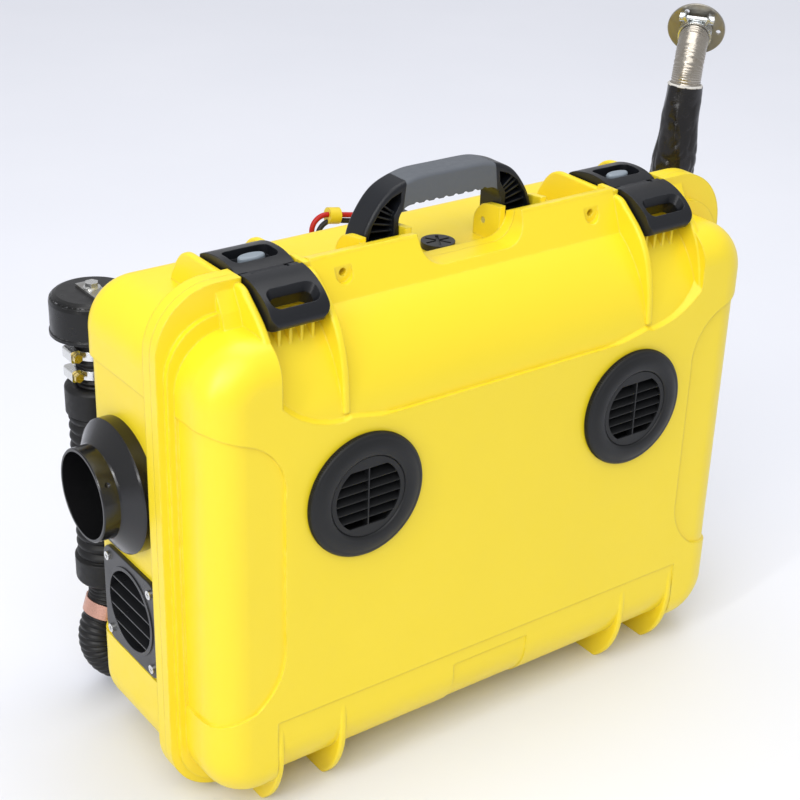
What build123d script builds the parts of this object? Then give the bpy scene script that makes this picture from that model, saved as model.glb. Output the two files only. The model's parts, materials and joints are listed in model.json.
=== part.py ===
"""Diesel air heater built into a hinged carrying case.

Millimetres, +Z up. The case stands on its hinge side: X runs along its length,
the lid faces -Y and the deep half of the case is behind it.
"""

import math
import os

from build123d import *

# ---- the whole ----
SHIFT_X = -31.5           # brings the middle of the whole over the origin
SHIFT_Y = -149.5

# ---- case shell ----
SEAM_Y = 75.0             # lid half in front of this plane, deep half behind
RIM_HALF = 319.0          # rim flange, half length
RIM_LOW = 8.0
RIM_TOP = 511.0
RIM_CORNER = 58.0
LID_RIM_T = 10.0
BASE_RIM_T = 12.0
BODY_LOW = 25.0
BODY_TOP = 474.0
BODY_CORNER = 50.0
WALL = 6.0
LID_HALF = RIM_HALF - 13.0
LID_EDGE = 34.0
BASE_HALF = RIM_HALF - 8.0
BASE_BACK = 224.0
BASE_EDGE = 26.0
ROLL_R = 109.0            # long upper roll of the lid
ROLL_Z = 385.0
ROLL_Y = 4.0
LOW_ROLL_R = 54.0         # lower front edge of the lid, set back between the outer feet
LOW_ROLL_Y = 1.2
LOW_ROLL_TOP = 105.0
SIDE_LOW = 118.0          # shallow panels that wrap the four upright corners
SIDE_TOP = 402.0
LID_SIDE_IN = LID_HALF - 70.0
LID_SIDE_D = 2.5
BASE_SIDE_D = 3.0
SEAL_D = 4.0
SEAL_W = 4.5

# ---- ribs, latch bays, carrying flange ----
RIB_IN = 170.0
RIB_OUT = 237.5
RIB_T = 7.0
RIB_EDGE = 2.2
BAY_TOP = 480.0
FLANGE_TOP = 513.0
FLANGE_BACK = 505.5       # the deep half's rim between the latches
FLANGE_FOOT_Y = 49.0
NOTCH_HALF = 58.0
NOTCH_LOW = 484.0
NOTCH_CORNER = 22.0
PADLOCK_X = 140.0
PADLOCK_Z = 496.0
PADLOCK_R = 3.6
PADLOCK_FACE_Y = 61.5     # flat bottom of the pocket round each padlock hole
PADLOCK_POCKET_R = 8.5

# ---- lid hinge ----
HINGE_R = 7.8
HINGE_PIN_R = 2.5
HINGE_RUN = 0.06
HINGE_MID = 207.25
HINGE_LID_W = 26.0
HINGE_SIDE_W = 13.0
HINGE_END_GAP = 0.5
HINGE_ROUND_GAP = 0.8

# ---- latches ----
LATCH_MID = 207.25
LATCH_W = 57.0
LEVER_PIN = (60.0, 491.0)  # y, z
LINK_PIN = (70.0, 505.0)
LATCH_PIN_R = 2.0
LATCH_RUN = 0.06
LEVER_TILT = 34.6          # degrees that the lever's plate leans
BUTTON_W = 26.0
BUTTON_D = 13.0
BUTTON_Y = 99.5
BUTTON_RUN = 0.3

# ---- handle ----
HANDLE_PIN = (110.0, 491.0)
HANDLE_PIN_R = 3.0
HANDLE_RUN = 0.08
LEG_IN = 58.0
LEG_OUT = 98.0
HANDLE_TOP = 554.0
HANDLE_DEEP = 30.0
HANDLE_WEB = 5.0
HANDLE_EDGE = 4.0
LEG_END_R = 15.2
GRIP_HALF = 50.0
EAR_T = 6.5
EAR_GAP = 1.2

# ---- round air vents in the lid ----
VENT_X = 156.0
VENT_Z = 314.6
VENT_R = 59.5
VENT_THICK = 9.5
VENT_BORE = 38.6
VENT_TUBE_R = 44.5
VENT_DEEP = 30.0
VENT_TURN_GAP = 0.35
VENT_GAPS = 6
VENT_SLAT_T = 1.1
VENT_FLAT = 27.8          # half height of the slatted opening
VENT_TEETH = 72

# ---- hot air stub and cold air grille on the left end ----
STUB_Y = 152.0
STUB_Z = 299.5
STUB_X = -BASE_HALF - 39.0
STUB_R = 43.0
STUB_BORE = 40.0
STUB_COLLAR_R = 62.5
STUB_COLLAR_T = 10.0
STUB_CONE = 15.0
GRILLE_Y = 147.0
GRILLE_Z = 168.0
GRILLE_SIDE = 102.0
GRILLE_PITCH = 80.0
GRILLE_T = 4.0
GRILLE_OPEN_R = 41.0
GRILLE_SLATS = 4
GRILLE_SLAT_PITCH = 16.0
GRILLE_DEEP = 12.0        # louvre barrel behind the plate

# ---- sheet metal and its screws ----
SHEET = 2.5
SCREW_R = 2.0
BRACKET_W = 17.0
BRACKET_SCREWS = (377.0, 389.0)

# ---- combustion air intake, back left ----
INTAKE_X = -BASE_HALF + 36.0
INTAKE_Y = 268.0
CAN_R = 40.0
CAN_TOP = 436.0
CAN_LOW = 397.0
NECK_R = 19.0
CLAMP_LOW = 358.5
CLAMP_TOP = 378.0
CUFF_R = 31.0
CUFF_TOP = 346.0
CUFF_H = 30.0
BELLOWS_R = 29.0
BELLOWS_LOW = 158.0
BELLOWS_RIBS = 15
TAIL_CUFF_R = 31.5
TAIL_CUFF_H = 28.0
HOSE_R = 20.5
HOSE_RIB = 2.0
HOSE_BORE = 15.0
HOSE_DROP = 8.0            # straight start under the silencer
HOSE_LEAN = 26.0           # degrees that it then swings out to the left
HOSE_LEAN_R = 80.0
HOSE_RUN = 5.0
HOSE_LOOP_R = 42.0         # loop back under, to the right
HOSE_RISE = 35.0           # degrees above level at its far end
HOSE_TAIL = 10.0
HOSE_RIB_PITCH = 5.4
BAND_AT = 34.0             # along the hose
BAND_H = 15.0
BAND_GAP = 0.6
HOSE_END = 10.0            # plain end inside the boot
BOOT_R = 22.0
BOOT_HOLE_R = 17.5
BOOT_BEND = 26.0
BOOT_ENTRY = (INTAKE_X + 88.0, 55.0)  # x, z of the hole in the back wall

# ---- exhaust, right end ----
EXHAUST_Z = 175.0
EXHAUST_STUB_X = -40.0
EXHAUST_FOOT = (BASE_HALF + 31.0, 160.0)          # x, y at the foot of the rise
EXHAUST_KNEE = (BASE_HALF + 32.5, 163.0, 410.0)   # where the rise starts to lean
EXHAUST_HEAD = (BASE_HALF + 46.0, 165.0, 566.0)   # where the leaning rise ends
EXHAUST_R = 15.5
EXHAUST_BORE = 12.6
EXHAUST_BEND = 26.0
EXHAUST_KNEE_BEND = 60.0
EXHAUST_STRAIGHT = 4.0
EXHAUST_TURN_R = 40.0
EXHAUST_TURN = 66.0                    # degrees that the top leans over
EXHAUST_HEADING = 40.0                 # degrees from +X towards +Y
EXHAUST_RIB_PITCH = 3.6
EXHAUST_TAIL = 18.0
SLEEVE_SECTIONS = ((262, 21), (330, 22.5), (400, 22), (455, 23.5), (478, 22.5), (520, 19.5), (563, 18))
EXIT_DISC_R = 30.0
EXIT_DISC_T = 2.5
EXIT_PLATE = 74.0
EXIT_PITCH = 56.0

# ---- heater inside ----
HEATER_LEFT = -145.0
HEATER_RIGHT = 185.0
HEATER_Y = 150.0
HEATER_DEEP = 112.0
HEATER_TALL = 132.0
HEATER_SKIN = 3.0
HEATER_CORNER = 22.0
EXIT_Y = HEATER_Y + 9.2     # where the exhaust passes the right wall
SHAFT_R = 3.0
SHAFT_RUN = 0.08
AIR_STUB = (68.0, 120.0)
AIR_HOSE_R = 14.0
STUB_PIPE_R = 12.3
STUB_PIPE_BORE = 10.0
STUB_PIPE_LOW = 206.0
FUEL_STUB = (68.0, 180.0)
FUEL_LINE_R = 3.0
PUMP = (165.0, 180.0, 100.0)
PUMP_R = 15.0
PUMP_LEN = 84.0
FUEL_FITTING = (240.0, 100.0)
GLOW_X = 45.0
KNOB = (-134.0, 418.0)
GLAND = (-45.0, 425.0)
LEAD_R = 2.6
LEAD_GAP = 0.8


def box(x0, x1, y0, y1, z0, z1):
    return Pos((x0 + x1) / 2, (y0 + y1) / 2, (z0 + z1) / 2) * Box(x1 - x0, y1 - y0, z1 - z0)


def rod(axis, centre, r, length):
    """Cylinder whose middle is at centre, lying along the named axis."""
    turn = {"x": Rot(0, 90, 0), "y": Rot(90, 0, 0), "z": Rot(0, 0, 0)}[axis]
    return Pos(*centre) * turn * Cylinder(r, length)


def tube(axis, centre, r, bore, length):
    return rod(axis, centre, r, length) - rod(axis, centre, bore, length + 2)


def slab_xz(half, low, top, corner, y0, y1):
    """Rounded rectangle in the XZ plane, pushed from y0 to y1."""
    flat = Plane(origin=(0, y0, (low + top) / 2), x_dir=(1, 0, 0), z_dir=(0, 1, 0))
    return extrude(flat * RectangleRounded(2 * half, top - low, corner), y1 - y0)


def prism_yz(points, x0, x1):
    """Outline given as (y, z) points, pushed from x0 to x1."""
    flat = Plane(origin=(x0, 0, 0), x_dir=(0, 1, 0), z_dir=(1, 0, 0))
    return extrude(flat * make_face(Polyline(*points, close=True)), x1 - x0)


def square(pitch):
    """Offsets of four holes in a square."""
    return [(a * pitch / 2, b * pitch / 2) for a in (-1, 1) for b in (-1, 1)]


def both_sides(shape):
    return shape + mirror(shape, about=Plane.YZ)


def edge_loop(shape, y):
    return [e for e in shape.edges() if abs(e.center().Y - y) < 0.01 and e.bounding_box().size.Y < 0.01]


def case_block(half, low, top, corner, y_seam, y_face, edge):
    """Solid half of the case with one face's edges rounded."""
    block = slab_xz(half, low, top, corner, min(y_seam, y_face), max(y_seam, y_face))
    return fillet(edge_loop(block, y_face), edge)


def roll_cut(y, z, r, reach):
    """Everything in front of the long roll above height z, over |x| < reach."""
    flat = Plane(origin=(-reach, 0, 0), x_dir=(0, 1, 0), z_dir=(1, 0, 0))
    top = z + math.sqrt(r ** 2 - (r - 60) ** 2)
    curve = RadiusArc((y, z), (y + 60, top), r)
    rest = Polyline((y + 60, top), (y + 60, top + 60), (-30, top + 60), (-30, z), (y, z))
    return extrude(flat * make_face(curve + rest), 2 * reach)


def low_roll_cut(depth, top, reach):
    """Everything in front of the lid's lower edge, depth inside its face, under the height top."""
    y, r, z = LOW_ROLL_Y + depth, LOW_ROLL_R - depth, BODY_LOW + LOW_ROLL_R
    half = math.sqrt(0.5)
    flat = Plane(origin=(-reach, 0, 0), x_dir=(0, 1, 0), z_dir=(1, 0, 0))
    curve = ThreePointArc((y, z), (y + r * (1 - half), z - r * half), (y + r, z - r))
    rest = Polyline((y + r, z - r), (y + r, -20), (-30, -20), (-30, top), (y, top), (y, z))
    return extrude(flat * make_face(curve + rest), 2 * reach)


def rib_plate(curves):
    """Rib from a closed outline in (y, z), its curved outer edges rounded."""
    flat = Plane(origin=(RIB_IN, 0, 0), x_dir=(0, 1, 0), z_dir=(1, 0, 0))
    rib = extrude(flat * make_face(curves), RIB_T)
    return fillet([e for e in rib.edges() if e.geom_type == GeomType.BSPLINE], RIB_EDGE)


def rib_outline(front, rear):
    """Upper rib, from the lid face over the seam to the back of the case."""
    curves = Spline((2, 396), (4, 424), (9, 449), (18, 470), (32, 487), (49, 501), (64, 507),
                    tangents=((0.05, 1), (1, 0)))
    curves += Line((64, 507), (140, 507))
    curves += Spline((140, 507), (157, 501), (169, 486), (175, 462), tangents=((1, 0), (0, -1)))
    curves += Polyline((175, 462), (175, 450), (40, 440), (30, 396), (2, 396))
    return rib_plate(curves) & box(0, 400, front, rear, 300, 600)


def foot_outline(rear):
    """Front foot: a fin that grows out of the lid's lower edge down to the floor."""
    curves = Spline((1.4, 100), (0.2, 84), (-0.3, 68), (3.5, 42), (14, 18), (30, 0))
    curves += Polyline((30, 0), (rear, 0), (rear, 34), (40, 45), (30, 100), (1.4, 100))
    return rib_plate(curves)


def rear_foot():
    curves = Spline((196, 0), (211, 8), (218, 26), (220, 48), tangents=((1, 0.1), (0, 1)))
    curves += Polyline((220, 48), (205, 60), (88, 40), (88, 0), (196, 0))
    return rib_plate(curves)


def in_and_out(rib):
    """One rib drawn at the inner place, set at all four places."""
    return both_sides(rib + Pos(RIB_OUT - RIB_IN, 0, 0) * rib)


def side_panel_cut(half, core, depth_y0, depth_y1, reach):
    """Shallow recess that wraps the upright corner: an outline less the deeper core."""
    flat = Plane(origin=(0, depth_y0, 0), x_dir=(1, 0, 0), z_dir=(0, 1, 0))
    high, low = SIDE_TOP, SIDE_LOW
    outline = Polyline((-400, -high - 26), (-reach - 66, -high - 2), (-reach - 30, -high + 12))
    outline += ThreePointArc((-reach - 30, -high + 12), (-reach - 8, -high + 32), (-reach, -high + 70))
    outline += Line((-reach, -high + 70), (-reach, -low - 70))
    outline += ThreePointArc((-reach, -low - 70), (-reach - 8, -low - 30), (-reach - 30, -low - 6))
    outline += Polyline((-reach - 30, -low - 6), (-reach - 66, -low + 4), (-400, -low - 22),
                        (-400, -high - 26))
    cut = extrude(flat * make_face(outline), depth_y1 - depth_y0)
    return both_sides(cut) - core


def hinge_rod(mid, width, r):
    return rod("x", (mid, SEAM_Y, RIM_LOW), r, width)


def hinge_sides(r, extra):
    offset = HINGE_LID_W / 2 + HINGE_END_GAP + HINGE_SIDE_W / 2
    return (hinge_rod(HINGE_MID - offset, HINGE_SIDE_W + extra, r)
            + hinge_rod(HINGE_MID + offset, HINGE_SIDE_W + extra, r))


def flange_wedge(y_thin, y_thick):
    """Carrying flange between the latches, leaning back from its foot to its top edge."""
    run = [(SEAM_Y, FLANGE_TOP - 2), (y_thin, FLANGE_TOP), (y_thick, BODY_TOP - 3), (y_thick, BODY_TOP - 8),
           (SEAM_Y, BODY_TOP - 8)]
    return prism_yz(run, -RIB_IN - 1, RIB_IN + 1)


def notch_cut():
    flat = Plane(origin=(0, 20, 0), x_dir=(1, 0, 0), z_dir=(0, 1, 0))
    w, low, top, r = NOTCH_HALF, NOTCH_LOW, RIM_TOP + 30, NOTCH_CORNER
    near = r * (1 - math.sqrt(0.5))
    outline = Polyline((-w - 9, -top), (-w - 1, -FLANGE_TOP), (-w, -low - r))
    outline += ThreePointArc((-w, -low - r), (-w + near, -low - near), (-w + r, -low))
    outline += Line((-w + r, -low), (w - r, -low))
    outline += ThreePointArc((w - r, -low), (w - near, -low - near), (w, -low - r))
    outline += Polyline((w, -low - r), (w + 1, -FLANGE_TOP), (w + 9, -top), (-w - 9, -top))
    return extrude(flat * make_face(outline), 72)


def bay_cut():
    """Lowers the rim inside each latch bay."""
    low = RIB_IN + RIB_T
    return both_sides(box(low, RIB_OUT, 30, 140, BAY_TOP, RIM_TOP + 20))


def latch_pin_cut(at, r):
    return both_sides(rod("x", (LATCH_MID, *at), r, RIB_OUT - RIB_IN + RIB_T - 3))


def padlock_pocket():
    """Round-bottomed pocket in the leaning flange, so that the padlock hole starts on a flat."""
    r, z = PADLOCK_POCKET_R, PADLOCK_Z - 1
    pocket = box(PADLOCK_X - r, PADLOCK_X + r, PADLOCK_FACE_Y - 25, PADLOCK_FACE_Y, z, FLANGE_TOP + 2)
    return pocket + rod("y", (PADLOCK_X, PADLOCK_FACE_Y - 12.5, z), r, 25)


def lid_half():
    body = case_block(LID_HALF, BODY_LOW, BODY_TOP, BODY_CORNER, SEAM_Y, 0, LID_EDGE)
    rim = slab_xz(RIM_HALF, RIM_LOW, RIM_TOP, RIM_CORNER, SEAM_Y - LID_RIM_T, SEAM_Y)
    cove = slab_xz(LID_HALF + 6, BODY_LOW - 8, BODY_TOP + 12, BODY_CORNER, SEAM_Y - LID_RIM_T - 6, SEAM_Y)
    # the upper roll, stepped back behind a gently sagging ledge
    front = Plane(origin=(0, ROLL_Y + 14, 0), x_dir=(1, 0, 0), z_dir=(0, 1, 0))
    far, mid = RIB_OUT + 1, RIB_IN
    ledge = ThreePointArc((-mid, -404), (0, -ROLL_Z), (mid, -404))
    ledge += Line((mid, -404), (mid + RIB_T, -402))
    ledge += ThreePointArc((mid + RIB_T, -402), (mid + 38, -409), (far, -430))
    ledge += Polyline((far, -430), (far, -560), (-far, -560), (-far, -430))
    ledge += ThreePointArc((-far, -430), (-mid - 38, -409), (-mid - RIB_T, -402))
    ledge += Line((-mid - RIB_T, -402), (-mid, -404))
    above = extrude(front * make_face(ledge), 22, dir=(0, -1, -0.7))
    above += extrude(front * make_face(ledge), 60)
    body -= roll_cut(ROLL_Y, ROLL_Z, ROLL_R, far) & above
    core = case_block(LID_HALF - LID_SIDE_D, BODY_LOW, BODY_TOP, BODY_CORNER - LID_SIDE_D, SEAM_Y,
                      LID_SIDE_D, LID_EDGE - LID_SIDE_D)
    body -= side_panel_cut(LID_HALF, core, -5, SEAM_Y - LID_RIM_T - 7, LID_SIDE_IN)
    # the lower edge is set back between the outer feet, and once more in the middle
    reach = RIB_OUT + RIB_T
    body -= low_roll_cut(0, LOW_ROLL_TOP, reach) + low_roll_cut(1.2, LOW_ROLL_TOP - 15, 45)
    for x0, x1 in ((-RIB_IN, -118), (62, RIB_IN)):
        body += box(x0, x1, 44, SEAM_Y - LID_RIM_T, 18, 36)
    body += cove + rim + flange_wedge(SEAM_Y - 9, FLANGE_FOOT_Y)
    body -= notch_cut() + bay_cut()
    body += in_and_out(rib_outline(-5, SEAM_Y)) + in_and_out(foot_outline(SEAM_Y - 9))
    body += both_sides(prism_yz([(56, 486), (65, 503), (65, 470), (50, 470)], RIB_OUT + RIB_T - 1, 262))
    for k in range(4):
        body += both_sides(box(LATCH_MID - 20 + 11 * k, LATCH_MID - 17 + 11 * k, 32, 46, 450, 473.5))
    # inside
    room = case_block(LID_HALF - WALL, BODY_LOW + WALL, BODY_TOP - WALL, BODY_CORNER - WALL, SEAM_Y + 1,
                      WALL, LID_EDGE - WALL)
    room -= roll_cut(ROLL_Y + WALL, ROLL_Z, ROLL_R - WALL, far + 20)
    room -= low_roll_cut(1.2 + WALL, LOW_ROLL_TOP + WALL, reach + WALL)
    body -= room & box(-400, 400, -10, SEAM_Y + 1, 0, 600)
    # openings
    body -= both_sides(rod("y", (VENT_X, 5, VENT_Z), VENT_TUBE_R + 0.6, 40))
    body -= both_sides(rod("y", (PADLOCK_X, 60, PADLOCK_Z), PADLOCK_R, 60) + padlock_pocket())
    body += both_sides(hinge_rod(HINGE_MID, HINGE_LID_W, HINGE_R))
    body -= both_sides(hinge_sides(HINGE_R + HINGE_ROUND_GAP, 2 * HINGE_END_GAP))
    body -= both_sides(hinge_rod(HINGE_MID, HINGE_LID_W + 2, HINGE_PIN_R + HINGE_RUN))
    body -= latch_pin_cut(LEVER_PIN, LATCH_PIN_R)
    return body


def base_half():
    body = case_block(BASE_HALF, BODY_LOW, BODY_TOP, BODY_CORNER - 5, SEAM_Y, BASE_BACK, BASE_EDGE)
    core = case_block(BASE_HALF - BASE_SIDE_D, BODY_LOW, BODY_TOP, BODY_CORNER - 5 - BASE_SIDE_D, SEAM_Y,
                      BASE_BACK - BASE_SIDE_D, BASE_EDGE - BASE_SIDE_D)
    body -= side_panel_cut(BASE_HALF, core, SEAM_Y + BASE_RIM_T, BASE_BACK + 20, LID_SIDE_IN + 6)
    rim = slab_xz(RIM_HALF, RIM_LOW, RIM_TOP, RIM_CORNER, SEAM_Y, SEAM_Y + BASE_RIM_T)
    # between the latches the rim falls away to the back
    back = SEAM_Y + BASE_RIM_T + 1
    fall = [(SEAM_Y, RIM_TOP), (back, FLANGE_BACK), (back, RIM_TOP + 9), (SEAM_Y, RIM_TOP + 9)]
    body += rim - prism_yz(fall, -RIB_IN - 1, RIB_IN + 1)
    body -= notch_cut() + bay_cut()
    body += in_and_out(rib_outline(SEAM_Y, 400)) + in_and_out(rear_foot())
    body += both_sides(latch_keeper()) + both_sides(handle_ears())
    # flat pad for the intake boot
    body += rod("y", (BOOT_ENTRY[0], BASE_BACK - 9, BOOT_ENTRY[1]), BOOT_R + 7, 18)
    room = case_block(BASE_HALF - WALL, BODY_LOW + WALL, BODY_TOP - WALL, BODY_CORNER - 5 - WALL, SEAM_Y - 1,
                      BASE_BACK - WALL, BASE_EDGE - WALL)
    body -= room
    body -= lid_seal()
    # openings in the walls
    body -= rod("x", (-BASE_HALF, STUB_Y, STUB_Z), STUB_BORE + 5, 40)
    body -= rod("x", (-BASE_HALF, GRILLE_Y, GRILLE_Z), GRILLE_OPEN_R, 40)
    for dy, dz in square(GRILLE_PITCH):
        body -= rod("x", (-BASE_HALF, GRILLE_Y + dy, GRILLE_Z + dz), SCREW_R, 40)
    body -= rod("y", (BOOT_ENTRY[0], BASE_BACK - 10, BOOT_ENTRY[1]), BOOT_HOLE_R, 60)
    body -= rod("x", (BASE_HALF, EXIT_Y, EXHAUST_Z), EXHAUST_R + 6, 40)
    for dy, dz in square(EXIT_PITCH):
        body -= rod("x", (BASE_HALF, EXIT_Y + dy, EXHAUST_Z + dz), SCREW_R, 40)
    for z in BRACKET_SCREWS:
        body -= rod("y", (INTAKE_X, BASE_BACK, z), SCREW_R, 40)
    body -= rod("z", (0, 112, BODY_TOP), 11, 40)
    body -= both_sides(rod("y", (PADLOCK_X, SEAM_Y + 6, PADLOCK_Z), PADLOCK_R, 20))
    body -= rod("y", (GLAND[0], BASE_BACK, GLAND[1]), 7, 40)
    body -= rod("y", (FUEL_FITTING[0], BASE_BACK, FUEL_FITTING[1]), 4.2, 40)
    # hinge
    body += both_sides(hinge_sides(HINGE_R, 0))
    body -= both_sides(hinge_rod(HINGE_MID, HINGE_LID_W + 2 * HINGE_END_GAP, HINGE_R + HINGE_ROUND_GAP))
    length = HINGE_LID_W + 2 * HINGE_END_GAP + 2 * HINGE_SIDE_W
    body -= both_sides(hinge_rod(HINGE_MID, length - 4, HINGE_PIN_R))
    body -= both_sides(handle_pin_rod(HANDLE_PIN_R, 2))
    return body


def latch_keeper():
    """Two posts on the deep half with the claw's tooth between them."""
    keeper = box(RIB_IN + RIB_T - 0.5, RIB_OUT + 0.5, 124, 136, BODY_TOP - 6, 496)
    return keeper - box(LATCH_MID - 13, LATCH_MID + 13, 100, 140, BODY_TOP, 520)


def handle_ears():
    curves = Polyline((86, 470), (86, 511), (100, 509.5))
    curves += Spline((100, 509.5), (113, 505.5), (121.5, 496), (124, 478), tangents=((1, -0.1), (0, -1)))
    curves += Polyline((124, 478), (124, 470), (86, 470))
    ears = None
    for x0 in (LEG_IN - EAR_GAP - EAR_T, LEG_OUT + EAR_GAP):
        flat = Plane(origin=(x0, 0, 0), x_dir=(0, 1, 0), z_dir=(1, 0, 0))
        ear = extrude(flat * make_face(curves), EAR_T)
        ears = ear if ears is None else ears + ear
    return ears


def handle_pin_rod(r, extra):
    """Rod on the handle's axis through one leg and its two ears."""
    length = LEG_OUT - LEG_IN + 2 * EAR_GAP + 2 * EAR_T
    return rod("x", ((LEG_IN + LEG_OUT) / 2, *HANDLE_PIN), r, length + extra)


def lid_seal():
    half, low, corner, w = RIM_HALF - 6, BODY_LOW - 2, BODY_CORNER - 3, SEAL_W
    outer = slab_xz(half, low, BODY_TOP, corner, SEAM_Y, SEAM_Y + SEAL_D)
    return outer - slab_xz(half - w, low + w, BODY_TOP - w, corner - w, SEAM_Y, SEAM_Y + SEAL_D)


def hinge_pins():
    length = HINGE_LID_W + 2 * HINGE_END_GAP + 2 * HINGE_SIDE_W - 4
    return both_sides(hinge_rod(HINGE_MID, length, HINGE_PIN_R))


def relief_valve():
    body = rod("z", (0, 112, BODY_TOP + 3), 16, 6) + rod("z", (0, 112, BODY_TOP - 4), 11, 12)
    body += rod("z", (0, 112, BODY_TOP - 8), 14, 4)
    for k in range(3):
        body -= Pos(0, 112, BODY_TOP + 6) * Rot(0, 0, 60 * k) * Box(26, 3, 3)
    return body


# ---- latches ----

def lever_plane(lift):
    """Plane along the lever's leaning plate, lifted off the plate's middle."""
    a = math.radians(LEVER_TILT)
    up = Vector(0, -math.sin(a), math.cos(a))
    return Plane(origin=Vector(LATCH_MID, 45, 495) + up * lift, x_dir=(1, 0, 0), z_dir=up)


def latch_lever():
    """Front part with the finger window, turning on a pin in the lid's ribs."""
    flat = Plane(origin=(LATCH_MID - LATCH_W / 2, 0, 0), x_dir=(0, 1, 0), z_dir=(1, 0, 0))
    curves = ThreePointArc((30, 476), (21.5, 478), (21, 487))
    curves += Spline((21, 487), (30, 498.5), (46, 507.5), (65, 511.5), tangents=((0.4, 1), (1, 0.05)))
    curves += Polyline((65, 511.5), (66.5, 500), (66, 487), (56, 486))
    curves += ThreePointArc((56, 486), (43, 482.5), (30, 476))
    lever = extrude(flat * make_face(curves), LATCH_W)
    lever = lever & extrude(lever_plane(0) * Pos(0, 21) * RectangleRounded(LATCH_W, 100, 9), 40, both=True)
    lever -= extrude(lever_plane(0) * Pos(0, -9) * RectangleRounded(39, 14, 5.5), 30, both=True)
    lever -= loft([lever_plane(12) * Pos(0, -6) * RectangleRounded(48, 22, 8),
                   lever_plane(4) * Pos(0, -9) * RectangleRounded(39, 14, 5.5)])
    lever += rod("x", (LATCH_MID, *LEVER_PIN), 5.5, LATCH_W)
    y, z = LINK_PIN
    lever -= rod("x", (LATCH_MID, y, z), 6.6, 36)
    for side in (-1, 1):
        ear = prism_yz([(y - 10, z + 5.5), (y + 2, z + 5.2), (y + 5, z + 2), (y + 5, z - 3), (y + 2, z - 5.2),
                        (y - 8, z - 8)], -4.5, 4.5)
        lever += Pos(LATCH_MID + side * 23, 0, 0) * ear
    lever += rod("x", (LATCH_MID, y, z), LATCH_PIN_R, 48)
    return lever - rod("x", (LATCH_MID, *LEVER_PIN), LATCH_PIN_R + LATCH_RUN, LATCH_W + 2)


def latch_link():
    """Rear part: claw and tooth, hinged on the lever, with the button's recess."""
    y, z = LINK_PIN
    flat = Plane(origin=(LATCH_MID - LATCH_W / 2, 0, 0), x_dir=(0, 1, 0), z_dir=(1, 0, 0))
    curves = Line((77, 501), (77, 508.5))
    curves += Spline((77, 508.5), (90, 513.2), (108, 514.3), (126, 511.5), (139, 505), (143, 498))
    curves += Polyline((143, 498), (137, 498), (122, 501), (90, 503), (77, 501))
    link = extrude(flat * make_face(curves), LATCH_W)
    link = link & extrude(Pos(LATCH_MID, 93.2, 490) * RectangleRounded(LATCH_W, 100, 9), 40)
    link += rod("x", (LATCH_MID, y, z), 4.6, 34)
    link += box(LATCH_MID - 17, LATCH_MID + 17, y, 78, z - 3.8, z + 3.5)
    link += box(LATCH_MID - 11, LATCH_MID + 11, 137, 143, 484, 500)
    link -= extrude(Pos(LATCH_MID, BUTTON_Y + 2, 505) * RectangleRounded(45, 27, 7), 20)
    link -= extrude(Pos(LATCH_MID, BUTTON_Y, 490) * button_outline(BUTTON_RUN), 40)
    return link - rod("x", (LATCH_MID, y, z), LATCH_PIN_R + LATCH_RUN, 60)


def button_outline(gap):
    return Ellipse(BUTTON_W / 2 + gap, BUTTON_D / 2 + gap)


def latch_button():
    body = extrude(Pos(LATCH_MID, BUTTON_Y, 502.6) * button_outline(0), 10.6)
    return fillet(body.faces().sort_by(Axis.Z)[-1].edges(), 2.6)


def latch_pins():
    return both_sides(rod("x", (LATCH_MID, *LEVER_PIN), LATCH_PIN_R, RIB_OUT - RIB_IN + RIB_T - 3.4))


def left(shape):
    return mirror(shape, about=Plane.YZ)


# ---- handle ----

def handle_flat():
    return Plane(origin=(0, HANDLE_PIN[0] - HANDLE_DEEP / 2, 0), x_dir=(1, 0, 0), z_dir=(0, 1, 0))


def handle_arch():
    """Both legs and the bar between them, with rounded outer edges."""
    low, top = HANDLE_PIN[1] - LEG_END_R, HANDLE_TOP
    outer = Polyline((0, -low), (LEG_OUT, -low), (LEG_OUT, -low - 18))
    outer += Spline((LEG_OUT, -low - 18), (93, -low - 36), (83, -low - 53), (68, -top + 10.5), (48, -top + 2.8),
                    (0, -top), tangents=((-0.15, -1), (-1, 0)))
    outer += Line((0, -top), (0, -low))
    arch = extrude(handle_flat() * make_face(outer), HANDLE_DEEP)
    inner = Polyline((0, -low + 5), (LEG_IN, -low + 5), (LEG_IN, -top + 40))
    inner += ThreePointArc((LEG_IN, -top + 40), (LEG_IN - 4, -top + 30), (LEG_IN - 14, -top + 26))
    inner += Polyline((LEG_IN - 14, -top + 26), (0, -top + 26), (0, -low + 5))
    arch -= extrude(handle_flat() * make_face(inner), HANDLE_DEEP)
    arch = both_sides(arch)
    return fillet([e for e in arch.edges() if e.geom_type == GeomType.BSPLINE], HANDLE_EDGE)


def handle_frame():
    low, top = HANDLE_PIN[1] - LEG_END_R, HANDLE_TOP
    shape = handle_arch()
    # the legs are channels, open to the front, stiffened by thin webs
    channel = Polyline((92, -low - 24), (86.5, -low - 40), (77, -low - 54), (66, -top + 16), (55, -top + 12),
                       (GRIP_HALF + 6, -top + 22), (LEG_IN + 5, -top + 34), (LEG_IN + 5, -low - 24),
                       (92, -low - 24))
    pocket = extrude(handle_flat() * make_face(channel), HANDLE_DEEP - HANDLE_WEB)
    for k in range(5):
        web = Rot(0, -6 - 8 * k, 0) * Box(60, HANDLE_DEEP - 8, 1.6)
        pocket -= Pos(78, HANDLE_PIN[0], low + 32 + 7 * k) * web
    shape -= both_sides(pocket)
    # round lower ends that clear the case while the handle folds
    ends = box(0, 200, 60, 160, 0, HANDLE_PIN[1]) - rod("x", (100, *HANDLE_PIN), LEG_END_R, 200)
    shape -= both_sides(ends)
    shape -= grip_room() - handle_core()
    return shape - both_sides(handle_pin_rod(HANDLE_PIN_R + HANDLE_RUN, -2))


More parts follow.
